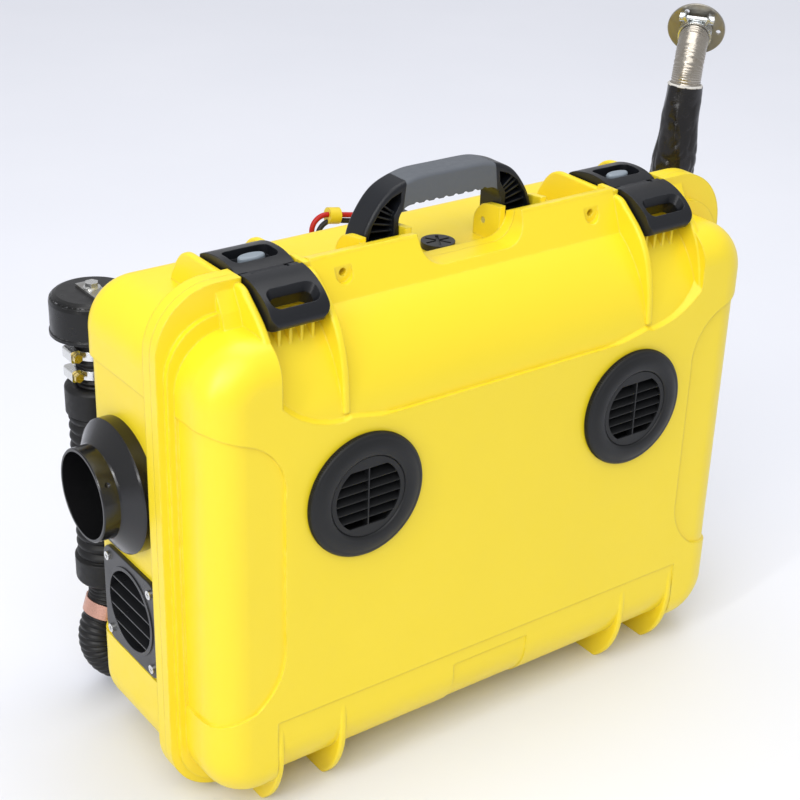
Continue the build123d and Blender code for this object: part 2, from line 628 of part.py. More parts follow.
def grip_room():
    """The stretch of the arch that the soft grip covers; its ends lean with the legs."""
    top = HANDLE_TOP
    outline = Polyline((-GRIP_HALF + 1, -top - 5), (GRIP_HALF - 1, -top - 5), (GRIP_HALF + 4, -top + 36),
                       (-GRIP_HALF - 4, -top + 36), (-GRIP_HALF + 1, -top - 5))
    return extrude(handle_flat() * make_face(outline), HANDLE_DEEP)


def handle_grip():
    grip = handle_arch() & grip_room()
    for k in range(8):
        x = -38.5 + 11 * k
        grip -= Pos(x, HANDLE_PIN[0], HANDLE_TOP - 28) * Rot(90, 0, 0) * Cylinder(3.4, HANDLE_DEEP)
    return grip - handle_core()


def handle_core():
    return box(-GRIP_HALF - 1, GRIP_HALF + 1, HANDLE_PIN[0] - 9, HANDLE_PIN[0] + 9, HANDLE_TOP - 21,
               HANDLE_TOP - 7)


def handle_pins():
    return both_sides(handle_pin_rod(HANDLE_PIN_R, -1))


# ---- lid vents ----

def vent_ring():
    """Dished outer ring with its tube through the lid."""
    flat = Plane(origin=(VENT_X, 0, VENT_Z), x_dir=(1, 0, 0), z_dir=(0, 0, 1))
    r, t = VENT_R, VENT_THICK
    # profile in (radius, y): out of the bore, over the dish, down the rim, back along the tube
    lip = Polyline((VENT_BORE, VENT_DEEP - 4), (VENT_BORE, -t + 2.6), (VENT_BORE + 2, -t + 1.4))
    lip += ThreePointArc((VENT_BORE + 2, -t + 1.4), (VENT_BORE + 12, -t), (r - 5, -t + 3.2))
    lip += ThreePointArc((r - 5, -t + 3.2), (r - 1.2, -t + 5.2), (r, -t + 7.6))
    stop = VENT_BORE - 2.5
    lip += Polyline((r, -t + 7.6), (r, 0), (VENT_TUBE_R, 0), (VENT_TUBE_R, VENT_DEEP), (stop, VENT_DEEP),
                    (stop, VENT_DEEP - 4), (VENT_BORE, VENT_DEEP - 4))
    body = revolve(Pos(VENT_X, 0, VENT_Z) * make_face(lip), Axis((VENT_X, 0, VENT_Z), (0, 1, 0)))
    notches = None
    for k in range(VENT_TEETH):
        a = 360 / VENT_TEETH * k
        cut = Pos(VENT_X, -0.9, VENT_Z) * Rot(0, a, 0) * Pos(r + 0.5, 0, 0) * Rot(0, 45, 0) * Box(2, 3.6, 2)
        notches = cut if notches is None else notches + cut
    return body - notches


def vent_nut():
    nut = tube("y", (VENT_X, WALL + 4, VENT_Z), 54, VENT_TUBE_R + 0.1, 8)
    for k in range(8):
        nut -= Pos(VENT_X, WALL + 4, VENT_Z) * Rot(0, 45 * k, 0) * Pos(54, 0, 0) * Box(5, 9, 9)
    return nut


def vent_grille():
    """Inner disc with slanted slats, free to turn in its ring."""
    r = VENT_BORE - VENT_TURN_GAP
    y0, y1 = -VENT_THICK + 2.8, VENT_DEEP - 4.3
    body = tube("y", (VENT_X, (y0 + y1) / 2, VENT_Z), r, r - 2.2, y1 - y0)
    body += tube("y", (VENT_X, y0 + 1, VENT_Z), r, r - 4.6, 2)
    inside = rod("y", (VENT_X, y0 + 5, VENT_Z), r - 1, 10)
    pitch = 2 * VENT_FLAT / VENT_GAPS
    for k in range(1, VENT_GAPS):
        z = VENT_Z - VENT_FLAT + pitch * k
        body += inside & (Pos(VENT_X, y0 + 5, z) * Rot(25, 0, 0) * Box(2 * r, 10.4, VENT_SLAT_T))
    body += inside & box(VENT_X - 0.7, VENT_X + 0.7, y0, y0 + 8, VENT_Z - r, VENT_Z + r)
    flats = box(VENT_X - r, VENT_X + r, y0, y0 + 2, VENT_Z + VENT_FLAT, VENT_Z + r)
    flats += box(VENT_X - r, VENT_X + r, y0, y0 + 2, VENT_Z - r, VENT_Z - VENT_FLAT)
    return body + (inside & flats)


# ---- left end ----

def hot_air_stub():
    wall_x = -BASE_HALF + BASE_SIDE_D
    x1 = wall_x - STUB_COLLAR_T
    x2 = x1 - STUB_CONE
    run = [(wall_x + 14, STUB_BORE), (wall_x + 14, STUB_BORE + 4.7), (wall_x, STUB_BORE + 4.7),
           (wall_x, STUB_COLLAR_R), (x1 - 2, STUB_COLLAR_R), (x1 - 3.5, STUB_COLLAR_R - 1.5),
           (x2, STUB_R + 1), (x2 - 1.5, STUB_R), (STUB_X + 1, STUB_R), (STUB_X, STUB_R - 0.8),
           (STUB_X, STUB_BORE)]
    face = make_face(Polyline(*[(x, r, 0) for x, r in run], close=True))
    body = revolve(Pos(0, STUB_Y, STUB_Z) * face, Axis((0, STUB_Y, STUB_Z), (1, 0, 0)))
    # two small dents in the tube, where a duct's clips catch
    for a in (145, -35):
        body -= Pos(STUB_X + 8, STUB_Y, STUB_Z) * Rot(a, 0, 0) * Pos(0, STUB_R + 1.4, 0) * Sphere(2.8)
    return body


def side_grille():
    x0 = -BASE_HALF + BASE_SIDE_D
    flat = Plane(origin=(x0, GRILLE_Y, GRILLE_Z), x_dir=(0, 1, 0), z_dir=(-1, 0, 0))
    plate = extrude(flat * RectangleRounded(GRILLE_SIDE, GRILLE_SIDE, 15), GRILLE_T)
    plate = fillet(plate.faces().sort_by(Axis.X)[0].edges(), 1.2)
    bore = GRILLE_OPEN_R - 1.8
    length = GRILLE_T + 1 + GRILLE_DEEP
    mid = (x0 + GRILLE_DEEP - length / 2, GRILLE_Y, GRILLE_Z)
    plate -= rod("x", (x0, GRILLE_Y, GRILLE_Z), bore, 20)
    plate += tube("x", mid, GRILLE_OPEN_R - 0.5, bore, length)
    plate += tube("x", (x0 - (GRILLE_T + 1) / 2, GRILLE_Y, GRILLE_Z), GRILLE_OPEN_R + 2, bore, GRILLE_T + 1)
    hold = rod("x", mid, bore + 0.5, length - 1)
    for k in range(GRILLE_SLATS):
        z = GRILLE_Z + (k - (GRILLE_SLATS - 1) / 2) * GRILLE_SLAT_PITCH
        plate += hold & (Pos(mid[0], GRILLE_Y, z) * Rot(0, -12, 0) * Box(length + 4, 90, 1.4))
    for dy, dz in square(GRILLE_PITCH):
        plate -= rod("x", (x0, GRILLE_Y + dy, GRILLE_Z + dz), SCREW_R, 30)
    return plate


def wall_screw(axis, at, sign):
    """Round-headed screw, head outside the face at its place, shank into the wall."""
    step = {"x": (sign, 0, 0), "y": (0, sign, 0)}[axis]
    head = [a + 1.2 * s for a, s in zip(at, step)]
    shank = [a - 5 * s for a, s in zip(at, step)]
    turn = {"x": Rot(0, 90 * sign, 0), "y": Rot(-90 * sign, 0, 0)}[axis]
    screw = rod(axis, head, 4.3, 2.4) + rod(axis, shank, SCREW_R, 10)
    slot = Pos(*[a + 2.2 * s for a, s in zip(at, step)]) * turn
    return screw - slot * Box(5, 1, 1.6) - slot * Box(1, 5, 1.6)


def panel_screws():
    wall = BASE_HALF - BASE_SIDE_D
    screws = [wall_screw("x", (-wall - GRILLE_T, GRILLE_Y + dy, GRILLE_Z + dz), -1)
              for dy, dz in square(GRILLE_PITCH)]
    for dy, dz in square(EXIT_PITCH):
        screws.append(wall_screw("x", (wall + SHEET, EXIT_Y + dy, EXHAUST_Z + dz), 1))
    screws += [wall_screw("y", (INTAKE_X, BASE_BACK + SHEET, z), 1) for z in BRACKET_SCREWS]
    return Compound(children=screws)


# ---- combustion air intake ----

def turned(profile, x, y):
    """Solid of revolution about the upright line through (x, y); profile holds (radius, z)."""
    face = make_face(Polyline(*[(r, 0, z) for r, z in profile], close=True))
    return revolve(Pos(x, y, 0) * face, Axis((x, y, 0), (0, 0, 1)))


def intake_can():
    r, low, top = CAN_R, CAN_LOW, CAN_TOP
    pipe = HOSE_BORE - 0.3
    run = [(0, top), (r - 7, top), (r - 4, top - 1.2), (r - 0.8, top - 4.5), (r, top - 8)]
    run += [(r, low + 4), (r + 1, low + 3), (r + 1, low), (pipe, low), (pipe, low - 24)]
    run += [(pipe - 2.7, low - 24), (pipe - 2.7, low + 2), (r - 2, low + 2), (r - 2, top - 3), (0, top - 3)]
    body = turned(run, INTAKE_X, INTAKE_Y)
    return body - rod("z", (INTAKE_X, INTAKE_Y, top), 3.1, 20)


def can_bracket():
    y0, top, half = BASE_BACK, CAN_TOP + SHEET, BRACKET_W / 2
    strap = box(INTAKE_X - half, INTAKE_X + half, y0, INTAKE_Y + 17, CAN_TOP, top)
    strap += box(INTAKE_X - half, INTAKE_X + half, y0, y0 + SHEET, BRACKET_SCREWS[0] - 7, top)
    strap -= rod("z", (INTAKE_X, INTAKE_Y, CAN_TOP), 3.1, 20)
    for z in BRACKET_SCREWS:
        strap -= rod("y", (INTAKE_X, y0, z), SCREW_R, 20)
    return strap


def can_bolt():
    z = CAN_TOP + SHEET
    bolt = extrude(Pos(INTAKE_X, INTAKE_Y, z + 1.2) * RegularPolygon(6.5, 6), 4.6)
    bolt += rod("z", (INTAKE_X, INTAKE_Y, z + 0.6), 8, 1.2) + rod("z", (INTAKE_X, INTAKE_Y, z - 4), 3, 12)
    nut = extrude(Pos(INTAKE_X, INTAKE_Y, CAN_TOP - 3) * RegularPolygon(6.5, 6), -4.5)
    return bolt + nut


def intake_neck():
    r, bore = NECK_R, HOSE_BORE
    low, top = CUFF_TOP - 6, CAN_LOW - 0.2
    run = [(bore, low), (r - 1, low)]
    z = low
    for k in range(2):
        run += [(r - 1, z + 1), (r + 0.6, z + 2.5), (r + 0.6, z + 4), (r - 1, z + 5.5)]
        z += 6
    z = (CLAMP_LOW + CLAMP_TOP) / 2
    run += [(r - 1, z - 16.2), (r, z - 15.2), (r, z - 4.2), (r - 1.5, z - 3.2), (r + 0.8, z - 0.2)]
    run += [(r - 1.5, z + 2.8), (r, z + 3.8), (r, top), (bore, top)]
    return turned(run, INTAKE_X, INTAKE_Y)


def worm_band(z):
    ring = tube("z", (INTAKE_X, INTAKE_Y, z), NECK_R + 1.7, NECK_R + 0.3, 9)
    side = INTAKE_X - NECK_R
    housing = box(side - 10, side - 0.5, INTAKE_Y - 9, INTAKE_Y + 9, z - 6, z + 6)
    return ring + fillet(housing.edges().filter_by(Axis.Y), 2.5)


def intake_clamps():
    bands = [worm_band(z) - worm_screw(z) for z in (CLAMP_LOW, CLAMP_TOP)]
    return Compound(children=bands)


def worm_screw(z):
    at = (INTAKE_X - NECK_R - 5, INTAKE_Y, z)
    shank = rod("y", at, 3.2, 20)
    head = extrude(Plane(origin=(at[0], INTAKE_Y - 9.5, z), z_dir=(0, -1, 0)) * RegularPolygon(4.6, 6), 5)
    return shank + head


def clamp_screws():
    return Compound(children=[worm_screw(z) for z in (CLAMP_LOW, CLAMP_TOP)])


def intake_silencer():
    r, bore = BELLOWS_R, HOSE_BORE
    cuff_low = CUFF_TOP - CUFF_H
    run = [(bore, CUFF_TOP - 6.2), (NECK_R + 1.4, CUFF_TOP - 6.2), (NECK_R + 1.4, CUFF_TOP - 1),
           (CUFF_R - 4, CUFF_TOP - 2), (CUFF_R, CUFF_TOP - 6), (CUFF_R, cuff_low), (r - 2, cuff_low)]
    pitch = (cuff_low - BELLOWS_LOW) / BELLOWS_RIBS
    for k in range(BELLOWS_RIBS):
        z = cuff_low - pitch * k
        run += [(rr, z - share * pitch) for rr, share in ((r - 3, 0.22), (r, 0.36), (r, 0.78), (r - 3, 0.92))]
    low = BELLOWS_LOW - TAIL_CUFF_H
    run += [(r - 2, BELLOWS_LOW), (TAIL_CUFF_R, BELLOWS_LOW), (TAIL_CUFF_R, low + 5), (TAIL_CUFF_R - 4, low),
            (HOSE_R - 2, low), (HOSE_R - 2, low + 12), (bore, low + 12)]
    return turned(run, INTAKE_X, INTAKE_Y)


def ring_at(spine, t, r, axis):
    """Circle across the spine, its X axis held steady."""
    here = Plane(origin=spine @ t, x_dir=axis, z_dir=spine % t)
    return here * Circle(r)


def rib_rings(spine, root, crest, pitch, axis):
    """Four circles for each rib along the spine, its far end left open."""
    count = max(1, round(spine.length / pitch))
    rings = []
    for k in range(count):
        for share, r in ((0.0, root), (0.28, crest), (0.62, crest), (0.9, root)):
            rings.append(ring_at(spine, (k + share) / count, r, axis))
    return rings


def ribbed(spine, root, crest, pitch, axis):
    return loft(rib_rings(spine, root, crest, pitch, axis) + [ring_at(spine, 1.0, root, axis)], ruled=True)


def bend_xz(at, heading, r, turn):
    """Tangent arc in the plane y = INTAKE_Y; heading counts degrees from straight down towards +X."""
    h0, h1 = math.radians(heading), math.radians(heading + turn)
    side = 1 if turn > 0 else -1

    def place(h):
        return (at[0] + side * r * (math.cos(h0) - math.cos(h)), INTAKE_Y,
                at[2] + side * r * (math.sin(h0) - math.sin(h)))

    return ThreePointArc(at, place((h0 + h1) / 2), place(h1))


def run_xz(at, heading, length):
    h = math.radians(heading)
    return Line(at, (at[0] + length * math.sin(h), INTAKE_Y, at[2] - length * math.cos(h)))


def hose_spine():
    """Down out of the silencer, a swing to the left, then a loop back under to the right."""
    at = (INTAKE_X, INTAKE_Y, BELLOWS_LOW - TAIL_CUFF_H)
    parts = [run_xz(at, 0, HOSE_DROP)]
    parts.append(bend_xz(end_of(parts), 0, HOSE_LEAN_R, -HOSE_LEAN))
    parts.append(run_xz(end_of(parts), -HOSE_LEAN, HOSE_RUN))
    parts.append(bend_xz(end_of(parts), -HOSE_LEAN, HOSE_LOOP_R, HOSE_LEAN + 90 + HOSE_RISE))
    parts.append(run_xz(end_of(parts), 90 + HOSE_RISE, HOSE_TAIL))
    return Wire(parts)


def end_of(parts):
    at = parts[-1] @ 1
    return (at.X, at.Y, at.Z)


def intake_hose():
    """Ribbed hose, plain at both ends where it enters the silencer and the boot."""
    across = (0, 1, 0)
    spine = hose_spine()
    root = HOSE_R - HOSE_RIB
    first = Plane(origin=(spine @ 0) + Vector(0, 0, 12), x_dir=across, z_dir=(0, 0, -1))
    last = Plane(origin=(spine @ 1) + (spine % 1) * HOSE_END, x_dir=across, z_dir=spine % 1)
    rings = [first * Circle(root)] + rib_rings(spine, root, HOSE_R, HOSE_RIB_PITCH, across)
    rings += [ring_at(spine, 1.0, root, across), last * Circle(root)]
    bore = sweep(ring_at(spine, 0, HOSE_BORE, across), path=spine)
    bore += extrude(first * Circle(HOSE_BORE), 13) + extrude(last * Circle(HOSE_BORE), -HOSE_END - 1)
    return loft(rings, ruled=True) - bore


def hose_band():
    spine = hose_spine()
    here = ring_at(spine, BAND_AT / spine.length, HOSE_R + BAND_GAP + 1.5, (0, 1, 0))
    hole = ring_at(spine, BAND_AT / spine.length, HOSE_R + BAND_GAP, (0, 1, 0))
    return extrude(here - hole, BAND_H / 2, both=True)


def intake_grommet():
    """Rubber boot that takes the hose's end round into the back wall."""
    spine = hose_spine()
    x, z = BOOT_ENTRY
    path = FilletPolyline(spine @ 1, (x, INTAKE_Y, z), (x, BASE_BACK - 44, z), radius=BOOT_BEND)
    start = Plane(origin=spine @ 1, x_dir=(0, 1, 0), z_dir=spine % 1)
    body = sweep(start * Circle(BOOT_R), path=path) & box(-400, 400, BASE_BACK, 400, 0, 600)
    body += rod("y", (x, BASE_BACK + 2, z), BOOT_R + 5, 4)
    body += rod("y", (x, BASE_BACK - 9, z), BOOT_HOLE_R - 0.2, 18)
    body += rod("y", (x, BASE_BACK - 26, z), STUB_PIPE_R - 0.3, 20)
    body -= sweep(start * Circle(STUB_PIPE_BORE), path=path)
    return body - extrude(start * Circle(HOSE_R - HOSE_RIB + 0.3), HOSE_END)


# ---- exhaust ----

def exhaust_path():
    """From the heater's stub to the right wall, up along it, then over at the top."""
    foot = (*EXHAUST_FOOT, EXHAUST_Z)
    low = FilletPolyline((EXHAUST_STUB_X, HEATER_Y, STUB_PIPE_LOW + 8), (EXHAUST_STUB_X, HEATER_Y, EXHAUST_Z),
                         foot, EXHAUST_KNEE, EXHAUST_HEAD,
                         radius=[EXHAUST_BEND, EXHAUST_BEND, EXHAUST_KNEE_BEND])
    rise = (Vector(*EXHAUST_HEAD) - Vector(*EXHAUST_KNEE)).normalized()
    away = Vector(math.cos(math.radians(EXHAUST_HEADING)), math.sin(math.radians(EXHAUST_HEADING)), 0)
    away = (away - rise * away.dot(rise)).normalized()
    start = Vector(*EXHAUST_HEAD)
    knee = start + rise * EXHAUST_STRAIGHT
    middle, end = [knee + (away * (1 - math.cos(a)) + rise * math.sin(a)) * EXHAUST_TURN_R
                   for a in (math.radians(EXHAUST_TURN / 2), math.radians(EXHAUST_TURN))]
    short = Line(start, knee)
    over = ThreePointArc(knee, middle, end)
    tail = Line(end, end + (over % 1) * EXHAUST_TAIL)
    side = rise.cross(away)
    return low, (short, over, tail), (side.X, side.Y, side.Z)


def exhaust_pipe():
    low, top, side = exhaust_path()
    first = Plane(origin=low @ 0, x_dir=(0, 1, 0), z_dir=(0, 0, -1))
    body = sweep(first * Circle(EXHAUST_R - 0.8), path=low)
    for spine in top:
        body += ribbed(spine, EXHAUST_R - 0.8, EXHAUST_R, EXHAUST_RIB_PITCH, side)
    body -= sweep(first * Circle(EXHAUST_BORE), path=low)
    for spine in top:
        body -= sweep(ring_at(spine, 0, EXHAUST_BORE, side), path=spine)
    return body


def rise_at(z):
    """Place and direction of the rise at height z."""
    foot, knee, head = Vector(*EXHAUST_FOOT, EXHAUST_Z), Vector(*EXHAUST_KNEE), Vector(*EXHAUST_HEAD)
    a, b = (foot, knee) if z < knee.Z else (knee, head)
    return a + (b - a) * ((z - a.Z) / (b.Z - a.Z)), (b - a).normalized()


def exhaust_sleeve():
    rings = []
    for z, r in SLEEVE_SECTIONS:
        at, way = rise_at(z)
        rings.append(Plane(origin=at, x_dir=(1, 0, 0), z_dir=way) * Circle(r))
    (start, way), (end, _) = rise_at(SLEEVE_SECTIONS[0][0] - 5), rise_at(SLEEVE_SECTIONS[-1][0] + 5)
    path = FilletPolyline(start, EXHAUST_KNEE, end, radius=EXHAUST_KNEE_BEND)
    bore = Plane(origin=start, x_dir=(1, 0, 0), z_dir=way) * Circle(EXHAUST_R - 0.6)
    return loft(rings) - sweep(bore, path=path)


def exhaust_end():
    """Plane across the pipe's mouth."""
    low, top, side = exhaust_path()
    return Plane(origin=top[-1] @ 1, x_dir=side, z_dir=top[-1] % 1)


def exhaust_flange():
    here = exhaust_end()
    disc = extrude(here * Circle(EXIT_DISC_R), EXIT_DISC_T)
    disc = fillet(disc.edges(), 0.9)
    disc += extrude(here * Circle(EXHAUST_BORE - 0.2), -14)
    disc -= extrude(here * Circle(EXHAUST_BORE - 2), 20, both=True)
    for k in range(3):
        disc -= extrude(here * Rot(0, 0, 120 * k + 60) * Pos(23, 0, 0) * Circle(2.6), 20, both=True)
    return disc


def exhaust_clamp():
    here = exhaust_end()
    band = extrude(Plane(origin=here.origin - here.z_dir * 15, x_dir=here.x_dir, z_dir=here.z_dir)
                   * Circle(EXHAUST_R + 1.8), 12)
    bore = extrude(Plane(origin=here.origin - here.z_dir * 16, x_dir=here.x_dir, z_dir=here.z_dir)
                   * Circle(EXHAUST_R), 14)
    base = Plane(origin=here.origin - here.z_dir * 9, x_dir=here.x_dir, z_dir=here.z_dir)
    ears = None
    for a in (60, 120):
        ear = base * Rot(0, 0, a) * Pos(EXHAUST_R + 5, 0, 0) * Box(11, 3, 12)
        ears = ear if ears is None else ears + ear
    bolt = base * Rot(0, 0, 90) * Pos(EXHAUST_R + 3.2, 0, 0) * Rot(90, 0, 0) * Cylinder(2.4, 36)
    head = base * Rot(0, 0, 90) * Pos(EXHAUST_R + 3.2, 15, 0) * Rot(90, 0, 0) * Cylinder(4.6, 5)
    nut = base * Rot(0, 0, 90) * Pos(EXHAUST_R + 3.2, -15, 0) * Rot(90, 0, 0) * Cylinder(4.6, 5)
    body = (band + ears + bolt + head + nut) - bore
    return max(body.solids(), key=lambda s: s.volume)


def exit_plate():
    x0 = BASE_HALF - BASE_SIDE_D
    flat = Plane(origin=(x0, EXIT_Y, EXHAUST_Z), x_dir=(0, 1, 0), z_dir=(1, 0, 0))
    plate = extrude(flat * RectangleRounded(EXIT_PLATE, EXIT_PLATE, 9), SHEET)
    plate += rod("x", (x0 + 3, EXIT_Y, EXHAUST_Z), EXHAUST_R + 4, 6)
    plate -= rod("x", (x0, EXIT_Y, EXHAUST_Z), EXHAUST_R, 60)
    for dy, dz in square(EXIT_PITCH):
        plate -= rod("x", (x0, EXIT_Y + dy, EXHAUST_Z + dz), SCREW_R, 30)
    return plate


# ---- heater ----

def casing_whole():
    """Skin of the heater, its outlet spigot to the left and its inlet grille to the right."""
    mid_z = STUB_Z
    flat = Plane(origin=(HEATER_LEFT, HEATER_Y, mid_z), x_dir=(0, 1, 0), z_dir=(1, 0, 0))
    long = HEATER_RIGHT - HEATER_LEFT
    body = extrude(flat * RectangleRounded(HEATER_DEEP, HEATER_TALL, HEATER_CORNER), long)
    skin = HEATER_SKIN
    inner = Plane(origin=(HEATER_LEFT + skin, HEATER_Y, mid_z), x_dir=(0, 1, 0), z_dir=(1, 0, 0))
    hollow = RectangleRounded(HEATER_DEEP - 2 * skin, HEATER_TALL - 2 * skin, HEATER_CORNER - skin)
    body -= extrude(inner * hollow, long - 2 * skin)
    body += tube("x", (HEATER_LEFT - 12, STUB_Y, mid_z), STUB_BORE + 4.7, STUB_BORE, 24)
    body -= rod("x", (HEATER_LEFT, STUB_Y, mid_z), STUB_BORE, 40)
    body -= rod("x", (HEATER_RIGHT, HEATER_Y, mid_z), 44, 20)
    end = (HEATER_RIGHT - skin / 2, HEATER_Y, mid_z)
    for r in (10.0, 20.6, 31.2, 41.8):
        body += tube("x", end, r + 1.2, r - 1.2, skin)
    for k in range(3):
        body += Pos(*end) * Rot(60 * k, 0, 0) * Box(skin, 90, 3)
    low = mid_z - HEATER_TALL / 2
    body -= rod("z", (EXHAUST_STUB_X, HEATER_Y, low), STUB_PIPE_R + 0.2, 12)
    body -= rod("z", (AIR_STUB[0], AIR_STUB[1], low), STUB_PIPE_R + 0.2, 12)
    body -= rod("z", (FUEL_STUB[0], FUEL_STUB[1], low), FUEL_LINE_R + 0.2, 12)
    return body


def heat_exchanger():
    left_x, right_x = HEATER_LEFT + 20, 55.0
    mid = (left_x + right_x) / 2
    at = (mid, HEATER_Y, STUB_Z)
    body = rod("x", at, 36, right_x - left_x)
    fin = Pos(0, 42, 0) * Box(right_x - left_x - 20, 18, 3)
    for k in range(14):
        body += Pos(mid - 10, HEATER_Y, STUB_Z) * Rot(360 / 14 * k, 0, 0) * fin
    body -= rod("x", (mid + 5, HEATER_Y, STUB_Z), 31, right_x - left_x - 6)
    stub_mid = (STUB_PIPE_LOW + STUB_Z - 32) / 2
    stub_len = STUB_Z - 32 - STUB_PIPE_LOW
    body += rod("z", (EXHAUST_STUB_X, HEATER_Y, stub_mid), STUB_PIPE_R, stub_len)
    body -= rod("z", (EXHAUST_STUB_X, HEATER_Y, stub_mid), STUB_PIPE_BORE, stub_len + 6)
    # foot pads against the casing
    floor = STUB_Z - HEATER_TALL / 2 + HEATER_SKIN
    for x in (left_x + 12, right_x - 12):
        body += box(x - 6, x + 6, HEATER_Y - 14, HEATER_Y + 14, floor, STUB_Z - 34)
    body -= rod("z", (GLOW_X, HEATER_Y, STUB_Z + 34), 4.3, 20)
    return body


def burner_housing():
    """Flame tube, air chamber with its intake stub, and the plate that carries the motor."""
    tube_part = tube("x", (0, HEATER_Y, STUB_Z), 24, 22, 100)
    tube_part += tube("x", (52, HEATER_Y, STUB_Z), 31, 22, 6)
    housing = tube("x", (67.5, HEATER_Y, STUB_Z), 40, 32, 25)
    inner_deep, inner_tall = HEATER_DEEP - 2 * HEATER_SKIN, HEATER_TALL - 2 * HEATER_SKIN
    flat = Plane(origin=(80, HEATER_Y, STUB_Z), x_dir=(0, 1, 0), z_dir=(1, 0, 0))
    plate = extrude(flat * RectangleRounded(inner_deep, inner_tall, HEATER_CORNER - 1.5), 4)
    hole = Pos(0, 51, 0) * Rot(0, 90, 0) * Cylinder(7, 10)
    for k in range(4):
        plate -= Pos(82, HEATER_Y, STUB_Z) * Rot(90 * k + 45, 0, 0) * hole
    housing += plate - rod("x", (82, HEATER_Y, STUB_Z), 6, 10)
    housing += tube("x", (55.6, HEATER_Y, STUB_Z), 40, 22, 1.2)
    stub_top = STUB_Z - 27
    z_mid, long = (STUB_PIPE_LOW + stub_top) / 2, stub_top - STUB_PIPE_LOW
    stub = rod("z", (AIR_STUB[0], AIR_STUB[1], z_mid), STUB_PIPE_R, long)
    body = tube_part + housing + stub
    body -= rod("z", (AIR_STUB[0], AIR_STUB[1], z_mid), 8.5, long + 14)
    body -= rod("x", (67.9, HEATER_Y, STUB_Z), 32, 24.2)
    # fuel nozzle, from under the casing up into the side of the air chamber
    foot, head = 214.0, STUB_Z - 18
    return body + rod("z", (*FUEL_STUB, (foot + head) / 2), FUEL_LINE_R - 0.9, head - foot)


def glow_plug():
    body = rod("z", (GLOW_X, HEATER_Y, STUB_Z + 37), 4, 24)
    return body + extrude(Pos(GLOW_X, HEATER_Y, STUB_Z + 38) * RegularPolygon(7.5, 6), 7)


def fan_motor():
    body = rod("x", (112, HEATER_Y, STUB_Z), 27, 56)
    body += rod("x", (82, HEATER_Y, STUB_Z), 5.7, 4)
    return body - rod("x", (112, HEATER_Y, STUB_Z), SHAFT_R + SHAFT_RUN, 80)


def burner_rotor():
    """Shaft with the small combustion air wheel at its left end."""
    body = rod("x", (119, HEATER_Y, STUB_Z), SHAFT_R, 114)
    body += rod("x", (63.5, HEATER_Y, STUB_Z), 29, 3)
    for k in range(12):
        body += Pos(70, HEATER_Y, STUB_Z) * Rot(30 * k, 0, 0) * Pos(0, 20, 0) * Box(11, 17, 1.6)
    return body + rod("x", (70, HEATER_Y, STUB_Z), 7, 12)


def blower_wheel():
    body = rod("x", (150, HEATER_Y, STUB_Z), 44, 3) + rod("x", (160, HEATER_Y, STUB_Z), 12, 22)
    for k in range(10):
        body += (Pos(160, HEATER_Y, STUB_Z) * Rot(36 * k, 0, 0) * Pos(0, 27, 0) * Rot(0, 0, 28)
                 * Box(22, 33, 1.6) & rod("x", (160.5, HEATER_Y, STUB_Z), 44, 23))
    return body - rod("x", (160, HEATER_Y, STUB_Z), SHAFT_R, 60)


def heater_mounts():
    """Rubber blocks between the heater's rear skin and the wall."""
    back = HEATER_Y + HEATER_DEEP / 2
    rear = BASE_BACK - WALL
    places = [(x, (back + rear) / 2, STUB_Z + dz) for x in (-95, 135) for dz in (-34, 34)]
    return Compound(children=[rod("y", place, 9, rear - back) for place in places])


def outlet_duct():
    x0, x1 = -BASE_HALF + WALL + 1, HEATER_LEFT - 2
    return tube("x", ((x0 + x1) / 2, STUB_Y, STUB_Z), STUB_BORE + 6.4, STUB_BORE + 4.8, x1 - x0)


def air_hose():
    x, z = BOOT_ENTRY
    pts = [(*AIR_STUB, STUB_PIPE_LOW + 12), (*AIR_STUB, z), (x, AIR_STUB[1], z), (x, 196, z)]
    spine = FilletPolyline(*pts, radius=[64, 32])
    start = Plane(origin=pts[0], x_dir=(0, 1, 0), z_dir=(0, 0, -1))
    hose = sweep(start * Circle(AIR_HOSE_R), path=spine)
    return hose - sweep(start * Circle(STUB_PIPE_R + 0.2), path=spine)


# ---- fuel ----

def fuel_fitting():
    x, z = FUEL_FITTING
    body = rod("y", (x, 224, z), 4.2, 40) + rod("y", (x, BASE_BACK + 2.3, z), 9, 4.6)
    body += extrude(Plane(origin=(x, 228.5, z), z_dir=(0, 1, 0)) * RegularPolygon(8, 6), 7)
    body += rod("y", (x, BASE_BACK - WALL - 2.5, z), 8, 5)
    for k in range(3):
        y = 239.0 + 4 * k
        body += Plane(origin=(x, y, z), x_dir=(1, 0, 0), z_dir=(0, 1, 0)) * Cone(4.4, 3.4, 3.4)
    body += rod("y", (x, 242, z), 3.4, 16)
    return body - rod("y", (x, 226, z), 2.0, 80)


def fuel_pump():
    x, y, z = PUMP
    body = rod("x", PUMP, PUMP_R, PUMP_LEN - 24) + rod("x", PUMP, PUMP_R - 5, PUMP_LEN)
    body += rod("x", PUMP, FUEL_LINE_R - 1.0, PUMP_LEN + 24)
    return body + box(x - 8, x + 8, y - 12, y + 12, z + 8, z + 22)


def pump_holder():
    x, y, z = PUMP
    ring = rod("x", (x - 20, y, z), PUMP_R + 4, 14)
    ring += box(x - 27, x - 13, y + 8, BASE_BACK - WALL, z - 14, z + 14)
    return ring - rod("x", (x - 20, y, z), PUMP_R + 0.3, 30)


